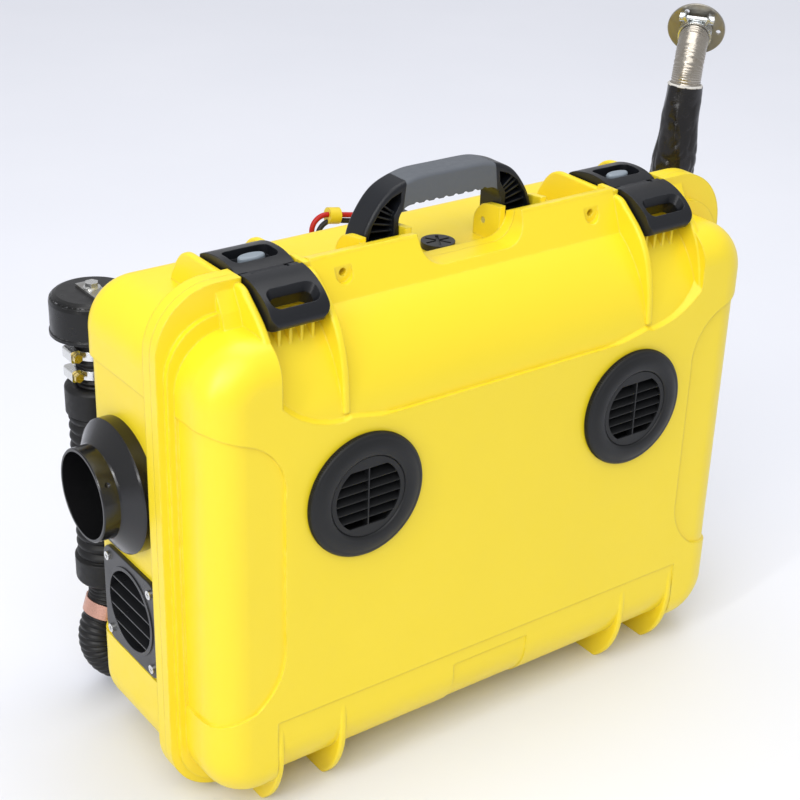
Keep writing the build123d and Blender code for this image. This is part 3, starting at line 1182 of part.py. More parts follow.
def fuel_lines():
    px, py, pz = PUMP
    reach = PUMP_LEN / 2 + 3
    fx, fz = FUEL_FITTING
    supply = FilletPolyline((fx, 204, fz), (fx, py, fz), (px + reach, py, pz), radius=16)
    feed = FilletPolyline((px - reach, py, pz), (FUEL_STUB[0], py, pz), (*FUEL_STUB, 222), radius=30)
    out = []
    for spine in (supply, feed):
        start = Plane(origin=spine @ 0, z_dir=spine % 0)
        line = sweep(start * Circle(FUEL_LINE_R), path=spine)
        out.append(line - sweep(start * Circle(FUEL_LINE_R - 0.8), path=spine))
    return Compound(children=out)


# ---- electrical ----

def control_unit():
    body = box(40, 170, BASE_BACK - WALL - 26, BASE_BACK - WALL, 390, 446)
    body = fillet(body.edges().filter_by(Axis.Y), 6)
    for k in range(5):
        body -= box(56 + 20 * k, 68 + 20 * k, 100, BASE_BACK - WALL - 24, 398, 438)
    return body


def controller():
    x, z = KNOB
    body = box(x - 66, x + 24, BASE_BACK - WALL - 30, BASE_BACK - WALL, z - 28, z + 28)
    body = fillet(body.edges().filter_by(Axis.Y), 5)
    face = BASE_BACK - WALL - 30
    body -= box(x - 58, x - 18, face - 1, face + 1.5, z - 12, z + 16)
    return body - rod("y", (x, face, z), 3.1, 24)


def controller_knob():
    x, z = KNOB
    face = BASE_BACK - WALL - 30
    body = rod("y", (x, face - 6.3, z), 11, 12) + rod("y", (x, face + 4, z), 3.0, 9)
    flute = Pos(11.4, 0, 0) * Rot(90, 0, 0) * Cylinder(1.2, 16)
    for k in range(12):
        body -= Pos(x, face - 6.5, z) * Rot(0, 30 * k, 0) * flute
    return body - box(x - 0.8, x + 0.8, face - 14, face - 11.4, z + 2, z + 12)


def power_gland():
    x, z = GLAND
    body = rod("y", (x, 218, z), 7, 26)
    body += extrude(Plane(origin=(x, BASE_BACK, z), z_dir=(0, 1, 0)) * RegularPolygon(11, 6), 5)
    body += rod("y", (x, BASE_BACK + 9, z), 8.5, 8) + rod("y", (x, 214.5, z), 10, 7)
    return body - lead_bore()


def lead_bore():
    x, z = GLAND
    off = LEAD_R + LEAD_GAP
    return rod("y", (x - off, 218, z), LEAD_R + 0.2, 60) + rod("y", (x + off, 218, z), LEAD_R + 0.2, 60)


def lead(side):
    """One power lead, from inside the gland, up behind the case and into the socket."""
    x, z = GLAND
    off = side * (LEAD_R + LEAD_GAP)
    pts = [(x + off, 200, z), (x + off, 250, z), (x + off, 250, 468 - off), (26, 241, 456 - off)]
    spine = FilletPolyline(*pts, radius=[14, 15])
    start = Plane(origin=pts[0], x_dir=(1, 0, 0), z_dir=(0, 1, 0))
    return sweep(start * Circle(LEAD_R), path=spine)


def lead_band(leads):
    at = Pos(-25, 248.2, 466.3) * Rot(0, 8, -7)
    band = at * (Rot(0, 90, 0) * Cylinder(8.2, 12))
    return band - leads


def power_connector(leads):
    body = box(24, 51, 228, 249, 448, 463) + box(28, 47, BASE_BACK, 231, 430, 452)
    body += box(22, 24, 234, 247, 450, 461) + box(32, 43, 249, 252, 452, 459)
    return body - leads


PARTS = {}


def keep(name, shape):
    PARTS[name] = shape


def write_all():
    os.makedirs("parts", exist_ok=True)
    for name, shape in PARTS.items():
        export_step(Pos(SHIFT_X, SHIFT_Y, 0) * shape, f"parts/{name}.step")


def build():
    keep("base_half", base_half())
    keep("lid_half", lid_half())
    keep("lid_seal", lid_seal())
    keep("hinge_pins", hinge_pins())
    keep("relief_valve", relief_valve())
    keep("latch_pins", latch_pins())
    lever, link, button = latch_lever(), latch_link(), latch_button()
    for side, place in (("right", lambda s: s), ("left", left)):
        keep(f"latch_lever_{side}", place(lever))
        keep(f"latch_link_{side}", place(link))
        keep(f"latch_button_{side}", place(button))
    keep("handle_frame", handle_frame())
    keep("handle_grip", handle_grip())
    keep("handle_pins", handle_pins())
    keep("vent_rings", both_sides(vent_ring()))
    keep("vent_nuts", both_sides(vent_nut()))
    keep("vent_grille_right", vent_grille())
    keep("vent_grille_left", left(vent_grille()))
    keep("hot_air_stub", hot_air_stub())
    keep("side_grille", side_grille())
    keep("panel_screws", panel_screws())
    keep("intake_can", intake_can())
    keep("can_bracket", can_bracket())
    keep("can_bolt", can_bolt())
    keep("intake_neck", intake_neck())
    keep("intake_clamps", intake_clamps())
    keep("clamp_screws", clamp_screws())
    keep("intake_silencer", intake_silencer())
    keep("intake_hose", intake_hose())
    keep("hose_band", hose_band())
    keep("intake_grommet", intake_grommet())
    keep("exhaust_pipe", exhaust_pipe())
    keep("exhaust_sleeve", exhaust_sleeve())
    keep("exhaust_flange", exhaust_flange())
    keep("exhaust_clamp", exhaust_clamp())
    keep("exit_plate", exit_plate())
    casing = casing_whole()
    keep("casing_front", casing & box(-400, 400, 0, HEATER_Y, 0, 600))
    keep("casing_rear", casing & box(-400, 400, HEATER_Y, 300, 0, 600))
    keep("heat_exchanger", heat_exchanger())
    keep("burner_housing", burner_housing())
    keep("glow_plug", glow_plug())
    keep("fan_motor", fan_motor())
    keep("burner_rotor", burner_rotor())
    keep("blower_wheel", blower_wheel())
    keep("heater_mounts", heater_mounts())
    keep("outlet_duct", outlet_duct())
    keep("air_hose", air_hose())
    keep("fuel_fitting", fuel_fitting())
    keep("fuel_pump", fuel_pump())
    keep("pump_holder", pump_holder())
    keep("fuel_lines", fuel_lines())
    keep("control_unit", control_unit())
    keep("controller", controller())
    keep("controller_knob", controller_knob())
    keep("power_gland", power_gland())
    red, black = lead(-1), lead(1)
    keep("lead_red", red)
    keep("lead_black", black)
    keep("lead_band", lead_band(red + black))
    keep("power_connector", power_connector(red + black))
    write_all()


build()
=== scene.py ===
"""Looks of a diesel air heater built into a hinged carrying case. Metres, in the CAD's frame."""

import json
import math

import bmesh
import bpy
from mathutils import Matrix, Quaternion, Vector, noise


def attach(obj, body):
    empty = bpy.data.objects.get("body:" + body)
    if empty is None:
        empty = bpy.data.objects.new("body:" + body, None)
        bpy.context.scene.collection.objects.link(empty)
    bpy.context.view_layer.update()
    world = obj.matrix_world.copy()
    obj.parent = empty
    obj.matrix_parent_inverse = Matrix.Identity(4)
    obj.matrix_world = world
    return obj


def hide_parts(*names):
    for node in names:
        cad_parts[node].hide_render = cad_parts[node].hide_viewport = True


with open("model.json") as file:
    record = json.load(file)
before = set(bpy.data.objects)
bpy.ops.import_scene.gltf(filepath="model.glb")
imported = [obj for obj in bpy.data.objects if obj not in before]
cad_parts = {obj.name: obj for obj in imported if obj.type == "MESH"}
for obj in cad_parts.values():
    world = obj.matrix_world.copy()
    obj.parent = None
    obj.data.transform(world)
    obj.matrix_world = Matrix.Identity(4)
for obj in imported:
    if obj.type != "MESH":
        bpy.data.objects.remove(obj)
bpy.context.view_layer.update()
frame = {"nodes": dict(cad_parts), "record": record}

MM = 0.001
CASE_ORIGIN = Vector((-0.0315, -0.1495, 0.0))  # case centre, lid face and floor, in the frame
RIGHT = Vector((1, 0, 0))
BACK = Vector((0, 1, 0))
UP = Vector((0, 0, 1))
DOWN = Vector((0, 0, -1))


def at(x, y, z):
    """A place given in millimetres from the case's centre line, lid face and floor."""
    return CASE_ORIGIN + Vector((x, y, z)) * MM


# ---------------------------------------------------------------- materials

NOISE_SPAN = (0.3, 0.7)  # most values of a noise texture lie between these
DULL = 0.3  # specular level of rubber and paint
DARK_SPECULAR = 0.32  # specular level of the blackest mouldings
PLASTIC_DUST = (0.32, 0.31, 0.29)
RUBBER_DUST = (0.24, 0.23, 0.22)
CHIPPED_STEEL = (0.25, 0.25, 0.26)
THREADS = 210.0  # scale of the waves that make the sleeve's weave


class Look:
    """A node material around one Principled shader."""

    def __init__(self, name, rough=0.5, metal=0.0, specular=0.5):
        self.mat = bpy.data.materials.new(name)
        self.mat.use_nodes = True
        self.tree = self.mat.node_tree
        self.shader = self.tree.nodes["Principled BSDF"]
        self.set("Roughness", rough)
        self.set("Metallic", metal)
        self.set("Specular IOR Level", specular)
        self.place = self.tree.nodes.new("ShaderNodeTexCoord").outputs["Object"]

    def feed(self, socket, value):
        """Links the output of a node, or sets a plain number, vector or colour."""
        if isinstance(value, bpy.types.NodeSocket):
            self.tree.links.new(value, socket)
        elif socket.type == "RGBA":
            socket.default_value = (*value, 1.0)
        else:
            socket.default_value = value

    def set(self, key, value):
        self.feed(self.shader.inputs[key], value)

    def node(self, kind, inputs=(), **props):
        made = self.tree.nodes.new(kind)
        for key, value in props.items():
            setattr(made, key, value)
        for key, value in dict(inputs).items():
            self.feed(made.inputs[key], value)
        return made

    def cloud(self, size, detail=3.0, rough=0.55, stretch=None):
        """Soft noise whose features measure about size metres, and less where stretch is over 1."""
        place = self.place
        if stretch:
            scaled = self.node("ShaderNodeMapping", {"Vector": place, "Scale": stretch})
            place = scaled.outputs["Vector"]
        made = self.node("ShaderNodeTexNoise", {"Vector": place, "Scale": 1 / size,
                                                "Detail": detail, "Roughness": rough})
        return made.outputs["Fac"]

    def spread(self, value, low, high, to_low, to_high):
        made = self.node("ShaderNodeMapRange", {"Value": value, "From Min": low, "From Max": high,
                                                "To Min": to_low, "To Max": to_high})
        return made.outputs["Result"]

    def patches(self, source, low, high, most=1.0):
        """0 where the noise lies under low, and most where it lies over high."""
        return self.spread(source, low, high, 0.0, most)

    def product(self, first, second):
        return self.node("ShaderNodeMath", {0: first, 1: second}, operation="MULTIPLY").outputs[0]

    def blend(self, share, first, second):
        """The first colour where share is 0, the second where it is 1."""
        return self.node("ShaderNodeMix", {0: share, 6: first, 7: second}, data_type="RGBA").outputs[2]

    def rounded(self, radius):
        """Normal of the surface with its sharp edges eased."""
        return self.node("ShaderNodeBevel", {"Radius": radius}, samples=4).outputs["Normal"]

    def edges(self, eased, reach=0.12):
        """1 along worn edges, 0 on flat faces."""
        true = self.node("ShaderNodeNewGeometry").outputs["Normal"]
        dot = self.node("ShaderNodeVectorMath", {0: eased, 1: true}, operation="DOT_PRODUCT")
        return self.spread(dot.outputs["Value"], 1.0 - reach, 1.0, 1.0, 0.0)

    def relief(self, height, depth, normal=None):
        """Bump over the plain surface, or over a normal that is already eased or bumped."""
        inputs = {"Height": height, "Distance": depth}
        if normal:
            inputs["Normal"] = normal
        return self.node("ShaderNodeBump", inputs).outputs["Normal"]

    def polish(self, source, finest, dullest):
        """Roughness that wanders between two values."""
        self.set("Roughness", self.spread(source, *NOISE_SPAN, finest, dullest))

    def coat(self, weight, rough):
        self.set("Coat Weight", weight)
        self.set("Coat Roughness", rough)


def shade(colour, factor):
    return tuple(min(1.0, c * factor) for c in colour)


def moulded(name, colour, rough, grain=0.0011, depth=0.00004, mottle=0.06, ease=0.0008, worn=None,
            specular=0.5, dust=0.0):
    """Moulded plastic: fine spark-eroded grain, slight tone change, eased and rubbed edges."""
    look = Look(name, rough, specular=specular)
    broad = look.cloud(size=0.09, detail=4)
    tone = look.blend(broad, shade(colour, 1 - mottle), shade(colour, 1 + mottle))
    eased = look.rounded(ease)
    if worn:
        rubbed = look.product(look.edges(eased), look.patches(look.cloud(size=0.012), 0.4, 0.65))
        tone = look.blend(rubbed, tone, worn)
    if dust:
        specks = look.patches(look.cloud(size=0.0035, detail=5, rough=0.7), 0.6, 0.78, dust)
        tone = look.blend(specks, tone, PLASTIC_DUST)
    look.set("Base Color", tone)
    look.polish(look.cloud(size=0.02, detail=5), rough - 0.05, rough + 0.06)
    pits = look.relief(look.cloud(size=grain, detail=2, rough=0.6), depth, eased)
    look.set("Normal", look.relief(look.cloud(size=0.03, detail=2), depth * 4, pits))
    return look.mat


def rubber(name, colour, rough=0.62, dust=0.06, ease=0.0006):
    """Black rubber with a bloom of pale dust and faint mould marks."""
    look = Look(name, rough, specular=DULL)
    bloom = look.patches(look.cloud(size=0.018, detail=6, rough=0.65), 0.45, 0.8, dust)
    look.set("Base Color", look.blend(bloom, colour, RUBBER_DUST))
    look.polish(look.cloud(size=0.006, detail=4), rough - 0.08, rough + 0.1)
    look.set("Normal", look.relief(look.cloud(size=0.0009), 0.00006, look.rounded(ease)))
    return look.mat


def steel(name, colour, rough, stretch=(1, 1, 1), stain=None):
    """Bare or plated metal: drawn grain, uneven polish and optional staining."""
    look = Look(name, rough, metal=1.0)
    uneven = look.cloud(size=0.008, detail=5)
    tone = look.blend(uneven, shade(colour, 0.86), shade(colour, 1.08))
    if stain:
        patch = look.patches(look.cloud(size=0.014, detail=6, rough=0.7), 0.52, 0.72, 0.7)
        tone = look.blend(patch, tone, stain)
    look.set("Base Color", tone)
    brushed = look.cloud(size=0.003, detail=5, rough=0.6, stretch=stretch)
    look.polish(brushed, rough - 0.08, rough + 0.14)
    drawn = look.cloud(size=0.0006, detail=3, rough=0.6, stretch=stretch)
    look.set("Normal", look.relief(drawn, 0.00002, look.rounded(0.0004)))
    return look.mat


def enamel(name, colour, rough=0.3):
    """Sprayed paint on sheet metal: orange peel, chips down to the metal along edges."""
    look = Look(name, rough, specular=DULL)
    eased = look.rounded(0.0007)
    worn = look.edges(eased, reach=0.2)
    chips = look.product(worn, look.patches(look.cloud(size=0.004, detail=5), 0.52, 0.6))
    paint = look.blend(look.cloud(size=0.05), shade(colour, 0.8), shade(colour, 1.25))
    look.set("Base Color", look.blend(chips, paint, CHIPPED_STEEL))
    look.polish(look.cloud(size=0.01, detail=5), rough - 0.06, rough + 0.08)
    look.set("Normal", look.relief(look.cloud(size=0.0022, detail=2), 0.00005, eased))
    look.coat(weight=0.1, rough=0.15)
    return look.mat


def cast_metal(name, colour):
    """Cast light alloy with a coarse, dull skin."""
    look = Look(name, 0.55, metal=1.0)
    look.set("Base Color", look.blend(look.cloud(size=0.01, detail=6), shade(colour, 0.7), colour))
    look.polish(look.cloud(size=0.004, detail=4), 0.45, 0.7)
    skin = look.cloud(size=0.0012, detail=4)
    look.set("Normal", look.relief(skin, 0.00018, look.rounded(0.001)))
    return look.mat


def coated_cloth(name, colour):
    """Glass cloth under a glossy black coat: faint weave, small creases and broad ones."""
    look = Look(name, 0.2, specular=0.35)
    wave = {"Vector": look.place, "Scale": THREADS, "Distortion": 0.4}
    threads = [look.node("ShaderNodeTexWave", wave, bands_direction=way) for way in ("Z", "DIAGONAL")]
    weave = look.product(*(thread.outputs["Fac"] for thread in threads))
    dark, pale = shade(colour, 0.7), shade(colour, 1.7)
    look.set("Base Color", look.blend(look.cloud(size=0.02, detail=5), dark, pale))
    look.polish(look.cloud(size=0.020, detail=4), 0.14, 0.27)
    small = look.cloud(size=0.011, detail=2, rough=0.45, stretch=(1, 1, 0.5))
    creased = look.relief(small, 0.0007, look.relief(weave, 0.00002))
    broad = look.cloud(size=0.026, detail=2, rough=0.45, stretch=(1, 1, 0.55))
    look.set("Normal", look.relief(broad, 0.0026, creased))
    look.coat(weight=0.12, rough=0.12)
    return look.mat


def white_cloth(name):
    """Cut edge of the sleeve's glass cloth."""
    look = Look(name, 0.7)
    fibres = look.cloud(size=0.003, detail=5)
    look.set("Base Color", look.blend(fibres, (0.42, 0.40, 0.36), (0.72, 0.70, 0.66)))
    look.set("Normal", look.relief(look.cloud(size=0.0008), 0.0002))
    return look.mat


def recipe(build, *args, **options):
    """A material that waits for the name of its slot."""
    return lambda slot: build(slot, *args, **options)


DRAWN_ALONG_X = (1, 8, 8)  # the grain is finer across the length
ROLLED_ALONG_X = (1, 6, 6)
BRUSHED_ACROSS_X = (8, 1, 1)
TURNED_ROUND_Z = (1, 1, 8)

MATERIALS = {
    "case_yellow": recipe(moulded, (0.875, 0.672, 0.018), 0.36, depth=0.00003, mottle=0.02,
                          ease=0.0022, worn=(0.93, 0.77, 0.08)),
    "seal_rubber": recipe(rubber, (0.03, 0.03, 0.03)),
    "pin_steel": recipe(steel, (0.6, 0.6, 0.61), 0.3, DRAWN_ALONG_X),
    "valve_black": recipe(moulded, (0.02, 0.02, 0.022), 0.4),
    "latch_dark": recipe(moulded, (0.0085, 0.0095, 0.012), 0.34, depth=0.00005, ease=0.0011,
                         worn=(0.05, 0.054, 0.062), specular=DARK_SPECULAR, dust=0.02),
    "button_grey": recipe(moulded, (0.22, 0.26, 0.30), 0.35, ease=0.001),
    "handle_black": recipe(moulded, (0.0075, 0.0088, 0.012), 0.33, ease=0.0012,
                           worn=(0.045, 0.05, 0.062), specular=DARK_SPECULAR, dust=0.02),
    "grip_rubber": recipe(rubber, (0.105, 0.115, 0.13), 0.6, dust=0.03, ease=0.001),
    "vent_black": recipe(moulded, (0.009, 0.0095, 0.0102), 0.42, grain=0.0009, depth=0.00006,
                         specular=DARK_SPECULAR, dust=0.015),
    "stub_black": recipe(moulded, (0.007, 0.007, 0.0075), 0.19, depth=0.00002, ease=0.0008, dust=0.015),
    "grille_black": recipe(moulded, (0.012, 0.0125, 0.014), 0.30, dust=0.03),
    "screw_zinc": recipe(steel, (0.75, 0.75, 0.73), 0.22),
    "can_enamel": recipe(enamel, (0.006, 0.006, 0.006)),
    "bracket_steel": recipe(steel, (0.46, 0.46, 0.45), 0.34, BRUSHED_ACROSS_X, stain=(0.3, 0.28, 0.24)),
    "neck_rubber": recipe(rubber, (0.008, 0.008, 0.0085), 0.46, dust=0.02),
    "band_steel": recipe(steel, (0.78, 0.78, 0.76), 0.2, TURNED_ROUND_Z),
    "screw_yellow": recipe(steel, (0.82, 0.66, 0.26), 0.26, stain=(0.75, 0.62, 0.42)),
    "hose_rubber": recipe(rubber, (0.009, 0.009, 0.0095), 0.40, dust=0.03),
    "band_copper": recipe(steel, (0.66, 0.37, 0.28), 0.28, TURNED_ROUND_Z, stain=(0.42, 0.25, 0.17)),
    "grommet_rubber": recipe(rubber, (0.012, 0.012, 0.012), 0.5, dust=0.03),
    "pipe_stainless": recipe(steel, (0.42, 0.385, 0.33), 0.25, stain=(0.30, 0.245, 0.18)),
    "sleeve_black": recipe(coated_cloth, (0.0075, 0.0068, 0.0075)),
    "disc_steel": recipe(steel, (0.36, 0.34, 0.30), 0.4, stain=(0.25, 0.22, 0.17)),
    "clamp_zinc": recipe(steel, (0.7, 0.72, 0.72), 0.22),
    "plate_steel": recipe(steel, (0.55, 0.55, 0.54), 0.35, TURNED_ROUND_Z),
    "casing_black": recipe(moulded, (0.03, 0.03, 0.032), 0.5, dust=0.05),
    "cast_alloy": recipe(cast_metal, (0.6, 0.61, 0.62)),
    "plug_steel": recipe(steel, (0.6, 0.6, 0.6), 0.3),
    "motor_steel": recipe(enamel, (0.16, 0.16, 0.17)),
    "rotor_steel": recipe(steel, (0.66, 0.66, 0.67), 0.3),
    "wheel_black": recipe(moulded, (0.03, 0.03, 0.03), 0.5),
    "mount_rubber": recipe(rubber, (0.03, 0.03, 0.03)),
    "duct_silver": recipe(steel, (0.7, 0.7, 0.7), 0.35, ROLLED_ALONG_X),
    "air_hose_black": recipe(rubber, (0.025, 0.025, 0.025)),
    "fitting_brass": recipe(steel, (0.72, 0.56, 0.28), 0.28, stain=(0.5, 0.38, 0.2)),
    "pump_steel": recipe(enamel, (0.42, 0.42, 0.42), 0.35),
    "holder_rubber": recipe(rubber, (0.03, 0.03, 0.03)),
    "fuel_nylon": recipe(moulded, (0.55, 0.56, 0.5), 0.35),
    "electronics_black": recipe(moulded, (0.025, 0.025, 0.028), 0.45),
    "knob_grey": recipe(moulded, (0.14, 0.145, 0.155), 0.4),
    "gland_black": recipe(moulded, (0.02, 0.02, 0.02), 0.4),
    "lead_red": recipe(rubber, (0.42, 0.012, 0.010), 0.38, dust=0.02),
    "lead_black": recipe(rubber, (0.02, 0.02, 0.02), 0.4),
    "band_yellow": recipe(moulded, (0.72, 0.55, 0.02), 0.4),
}


def dress_nodes():
    """Gives every CAD node the material of its slot."""
    made = {slot: build(slot) for slot, build in MATERIALS.items()}
    for part in frame["record"]["subparts"]:
        node = frame["nodes"][part["node"]]
        for place in node.material_slots:
            place.material = made[part["material_slot"]]
    return made


# ---------------------------------------------------------------- swept pieces


def along(points, radii):
    """Runs and bends that follow a line of corners, for trace."""
    moves, used = [], 0.0
    for k, radius in enumerate(radii):
        before, after = points[k + 1] - points[k], points[k + 2] - points[k + 1]
        angle = before.angle(after)
        cut = radius * math.tan(angle / 2)
        moves += [(before.length - used - cut,), (before.cross(after).normalized(), radius, angle)]
        used = cut
    return moves + [((points[-1] - points[-2]).length - used,)]


def trace(start, heading, side, moves, step):
    """Points with their heading and side vectors along straight runs and tangent bends.

    A move is (length,) for a run, or (axis, radius, angle) for a bend."""
    line = [(start, heading, side)]
    for move in moves:
        here, ahead, beside = line[-1]
        if len(move) == 1:
            count = max(1, round(move[0] / step))
            for k in range(1, count + 1):
                line.append((here + ahead * (move[0] * k / count), ahead, beside))
        else:
            axis, radius, angle = move
            centre = here + axis.cross(ahead) * radius
            count = max(2, round(radius * angle / step))
            for k in range(1, count + 1):
                turn = Quaternion(axis, angle * k / count)
                line.append((centre + turn @ (here - centre), turn @ ahead, turn @ beside))
    return line


def shell(name, rings):
    """Closed smooth skin through rings of points, the last ring joined to the first."""
    mesh = bpy.data.meshes.new(name)
    around = len(rings[0])
    points = [p for ring in rings for p in ring]
    faces = []
    for i in range(len(rings)):
        j = (i + 1) % len(rings)
        for k in range(around):
            m = (k + 1) % around
            faces.append((i * around + k, i * around + m, j * around + m, j * around + k))
    mesh.from_pydata(points, [], faces)
    work = bmesh.new()
    work.from_mesh(mesh)
    bmesh.ops.recalc_face_normals(work, faces=work.faces)
    work.to_mesh(mesh)
    work.free()
    for face in mesh.polygons:
        face.use_smooth = True
    made = bpy.data.objects.new(name, mesh)
    bpy.context.scene.collection.objects.link(made)
    return made


def swept(name, line, outer, bore, around):
    """Tube along a traced line. Radii: outer(distance, angle), and bore or bore(distance)."""
    rings, inner = [], []
    travelled, last = 0.0, line[0][0]
    angles = [2 * math.pi * k / around for k in range(around)]
    for here, ahead, beside in line:
        travelled += (here - last).length
        last = here
        other = ahead.cross(beside)
        spokes = [beside * math.cos(a) + other * math.sin(a) for a in angles]
        rings.append([here + spoke * outer(travelled, a) for spoke, a in zip(spokes, angles)])
        inside = bore(travelled) if callable(bore) else bore
        inner.append([here + spoke * inside for spoke in spokes])
    return shell(name, rings + inner[::-1])


def finished(piece, material, body, slot, *nodes):
    """Dresses a piece, puts it on its body and lets it stand in for the CAD nodes it replaces."""
    piece.data.materials.append(material)
    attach(piece, body)
    if nodes:
        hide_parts(*nodes)


def ridge(share, sharp=1.0):
    """0 in the valley between two ribs, 1 on the crest."""
    return (0.5 - 0.5 * math.cos(2 * math.pi * share)) ** sharp


def hump(value, middle, width):
    """1 at the middle, falling off softly on both sides."""
    return math.exp(-((value - middle) / width) ** 2)


def near(distance, reach):
    """1 at an edge, 0 from the reach onwards."""
    return max(0.0, 1 - distance / reach)


def eased_step(value, edge, width):
    """0 below the edge, 1 above it, with a soft rise between."""
    share = min(1.0, max(0.0, (value - edge) / width + 0.5))
    return share * share * (3 - 2 * share)


# ---- exhaust ----
EXHAUST_START = at(-40, 150, 214)
EXHAUST_DROP = at(-40, 150, 175)
EXHAUST_FOOT = at(342, 160, 175)
EXHAUST_KNEE = at(343.5, 163, 410)
EXHAUST_HEAD = at(357, 165, 566)
EXHAUST_BENDS = (0.026, 0.026, 0.060)
EXHAUST_R, EXHAUST_BORE = 0.0155, 0.0126
EXHAUST_TURN_R = 0.040
EXHAUST_TURN = math.radians(66)
EXHAUST_HEADING = math.radians(40)
EXHAUST_STRAIGHT, EXHAUST_TAIL = 0.004, 0.018
SPIRAL_PITCH, SPIRAL_DEPTH = 0.0032, 0.0009
SPIRAL_STEP, SPIRAL_AROUND = 0.0006, 40

SLEEVE_SECTIONS = ((262, 21), (330, 22.5), (400, 22), (455, 23.5), (478, 22.5), (520, 19.5),
                   (563, 18))  # height and radius in millimetres
SLEEVE_GAP = 0.0002  # between the sleeve and the pipe
SLEEVE_STEP, SLEEVE_AROUND = 0.0012, 96
FOLD_DEEP, FOLD_FINE, CRUMPLE, CREASE = 0.045, 0.022, 0.11, 0.06  # shares of the sleeve's radius
GATHER_Z, GATHER_REACH = 462, 34  # millimetres: the cloth gathers above the case's top edge
LINING_LONG, LINING_SUNK, LINING_STEP = 0.0022, 0.0006, 0.0004
LINING_TAPER, LINING_FRAY = 0.0012, 0.0003


def exhaust_line(step):
    """From the heater down, out through the right end, up, and over to the disc."""
    rise = (EXHAUST_HEAD - EXHAUST_KNEE).normalized()
    away = Vector((math.cos(EXHAUST_HEADING), math.sin(EXHAUST_HEADING), 0))
    away = (away - rise * away.dot(rise)).normalized()
    corners = [EXHAUST_START, EXHAUST_DROP, EXHAUST_FOOT, EXHAUST_KNEE, EXHAUST_HEAD]
    over = (rise.cross(away).normalized(), EXHAUST_TURN_R, EXHAUST_TURN)
    moves = along(corners, EXHAUST_BENDS) + [(EXHAUST_STRAIGHT,), over, (EXHAUST_TAIL,)]
    return trace(EXHAUST_START, DOWN, BACK, moves, step)


def exhaust_pipe(look):
    """Spiral-wound pipe whose turns open a little here and there."""
    def outer(s, a):
        wander = 1.4 * math.sin(s * 95) + 0.5 * math.sin(s * 330)
        turns = s / SPIRAL_PITCH + a / (2 * math.pi) + wander
        open_turn = 0.75 + 0.25 * math.sin(s * 210)
        return EXHAUST_R - SPIRAL_DEPTH * (1 - ridge(turns, 0.6)) * open_turn

    line = exhaust_line(SPIRAL_STEP)
    pipe = swept("exhaust_pipe_spiral", line, outer, EXHAUST_BORE, SPIRAL_AROUND)
    finished(pipe, look["pipe_stainless"], "base", "pipe_stainless", "exhaust_pipe")


def section_radius(z_mm):
    """Mean radius of the sleeve at a height, both in millimetres."""
    for (z0, r0), (z1, r1) in zip(SLEEVE_SECTIONS, SLEEVE_SECTIONS[1:]):
        if z_mm <= z1:
            share = min(1.0, max(0.0, (z_mm - z0) / (z1 - z0)))
            return r0 + (r1 - r0) * (3 - 2 * share) * share * share
    return SLEEVE_SECTIONS[-1][1]


def exhaust_sleeve(look):
    """Loose coated sleeve: long folds, and creases that gather above the case's top edge."""
    low, top = SLEEVE_SECTIONS[0][0], SLEEVE_SECTIONS[-1][0]
    upright, rise = EXHAUST_KNEE - EXHAUST_FOOT, EXHAUST_HEAD - EXHAUST_KNEE
    start = EXHAUST_KNEE - upright * ((EXHAUST_KNEE.z - low * MM) / upright.z)
    head = EXHAUST_KNEE + rise * ((top * MM - EXHAUST_KNEE.z) / rise.z)
    upright.normalize()
    rise.normalize()
    moves = along([start, EXHAUST_KNEE, head], EXHAUST_BENDS[-1:])
    side = upright.cross(BACK).cross(upright).normalized()
    length = (head - EXHAUST_KNEE).length + (EXHAUST_KNEE - start).length

    def outer(s, a):
        share = s / length
        z = low + (top - low) * share
        around = Vector((math.cos(a), math.sin(a), 0))
        sway = 1.5 * math.sin(share * 9)
        fold = FOLD_DEEP * math.sin(3 * a + 2.6 + sway) + FOLD_FINE * math.sin(5 * a - 5 * share)
        crumple = CRUMPLE * noise.noise(around * 1.6 + UP * share * 9)
        crease = 1 - abs(noise.noise(around * 2.1 + UP * (share * 17 + 3))) * 2.2
        gather = hump(z, GATHER_Z, GATHER_REACH) + 0.35
        swell = fold + crumple - CREASE * max(0.0, crease - 0.35) * gather
        fade = min(1.0, (1 - share) * 14 + 0.25)
        return section_radius(z) * MM * (1 + swell * fade)

    line = trace(start, upright, side, moves, SLEEVE_STEP)
    bore = EXHAUST_R + SLEEVE_GAP
    sleeve = swept("exhaust_sleeve_cloth", line, outer, bore, SLEEVE_AROUND)
    finished(sleeve, look["sleeve_black"], "base", "sleeve_black", "exhaust_sleeve")

    def rim(s, a):
        taper = LINING_TAPER * (s / LINING_LONG) ** 2
        return section_radius(top) * MM + SLEEVE_GAP - taper + LINING_FRAY * math.sin(9 * a + 2)

    lining = white_cloth("sleeve_lining")
    rim_start = head - rise * LINING_SUNK
    rim_line = trace(rim_start, rise, rise.cross(BACK).cross(rise), [(LINING_LONG,)], LINING_STEP)
    edge = swept("sleeve_edge_lining", rim_line, rim, bore, SLEEVE_AROUND)
    finished(edge, lining, "base", "sleeve_black")


# ---- combustion air intake ----
INTAKE_AXIS = at(-275, 268, 0)
SPIGOT = 0.012  # length of the hose's plain end inside the silencer

CUFF_TOP, CUFF_LOW, CUFF_R = 0.3450, 0.316, 0.0310
CUFF_EDGE, CUFF_ROUND = 0.0045, 0.0042
NECK_OUT, NECK_GAP = 0.0204, 0.0002
BELLOWS_LOW, BELLOWS_R, BELLOWS_RIBS = 0.158, 0.0290, 15
BELLOWS_DEPTH, BELLOWS_STEP = 0.0032, 0.0014
CUFF_STEP_IN, TAIL_STEP_IN = 0.0004, 0.0006  # how far the soft steps start among the ribs
TAIL_R, TAIL_H = 0.0315, 0.028
TAIL_EDGE, TAIL_ROUND = 0.006, 0.0050

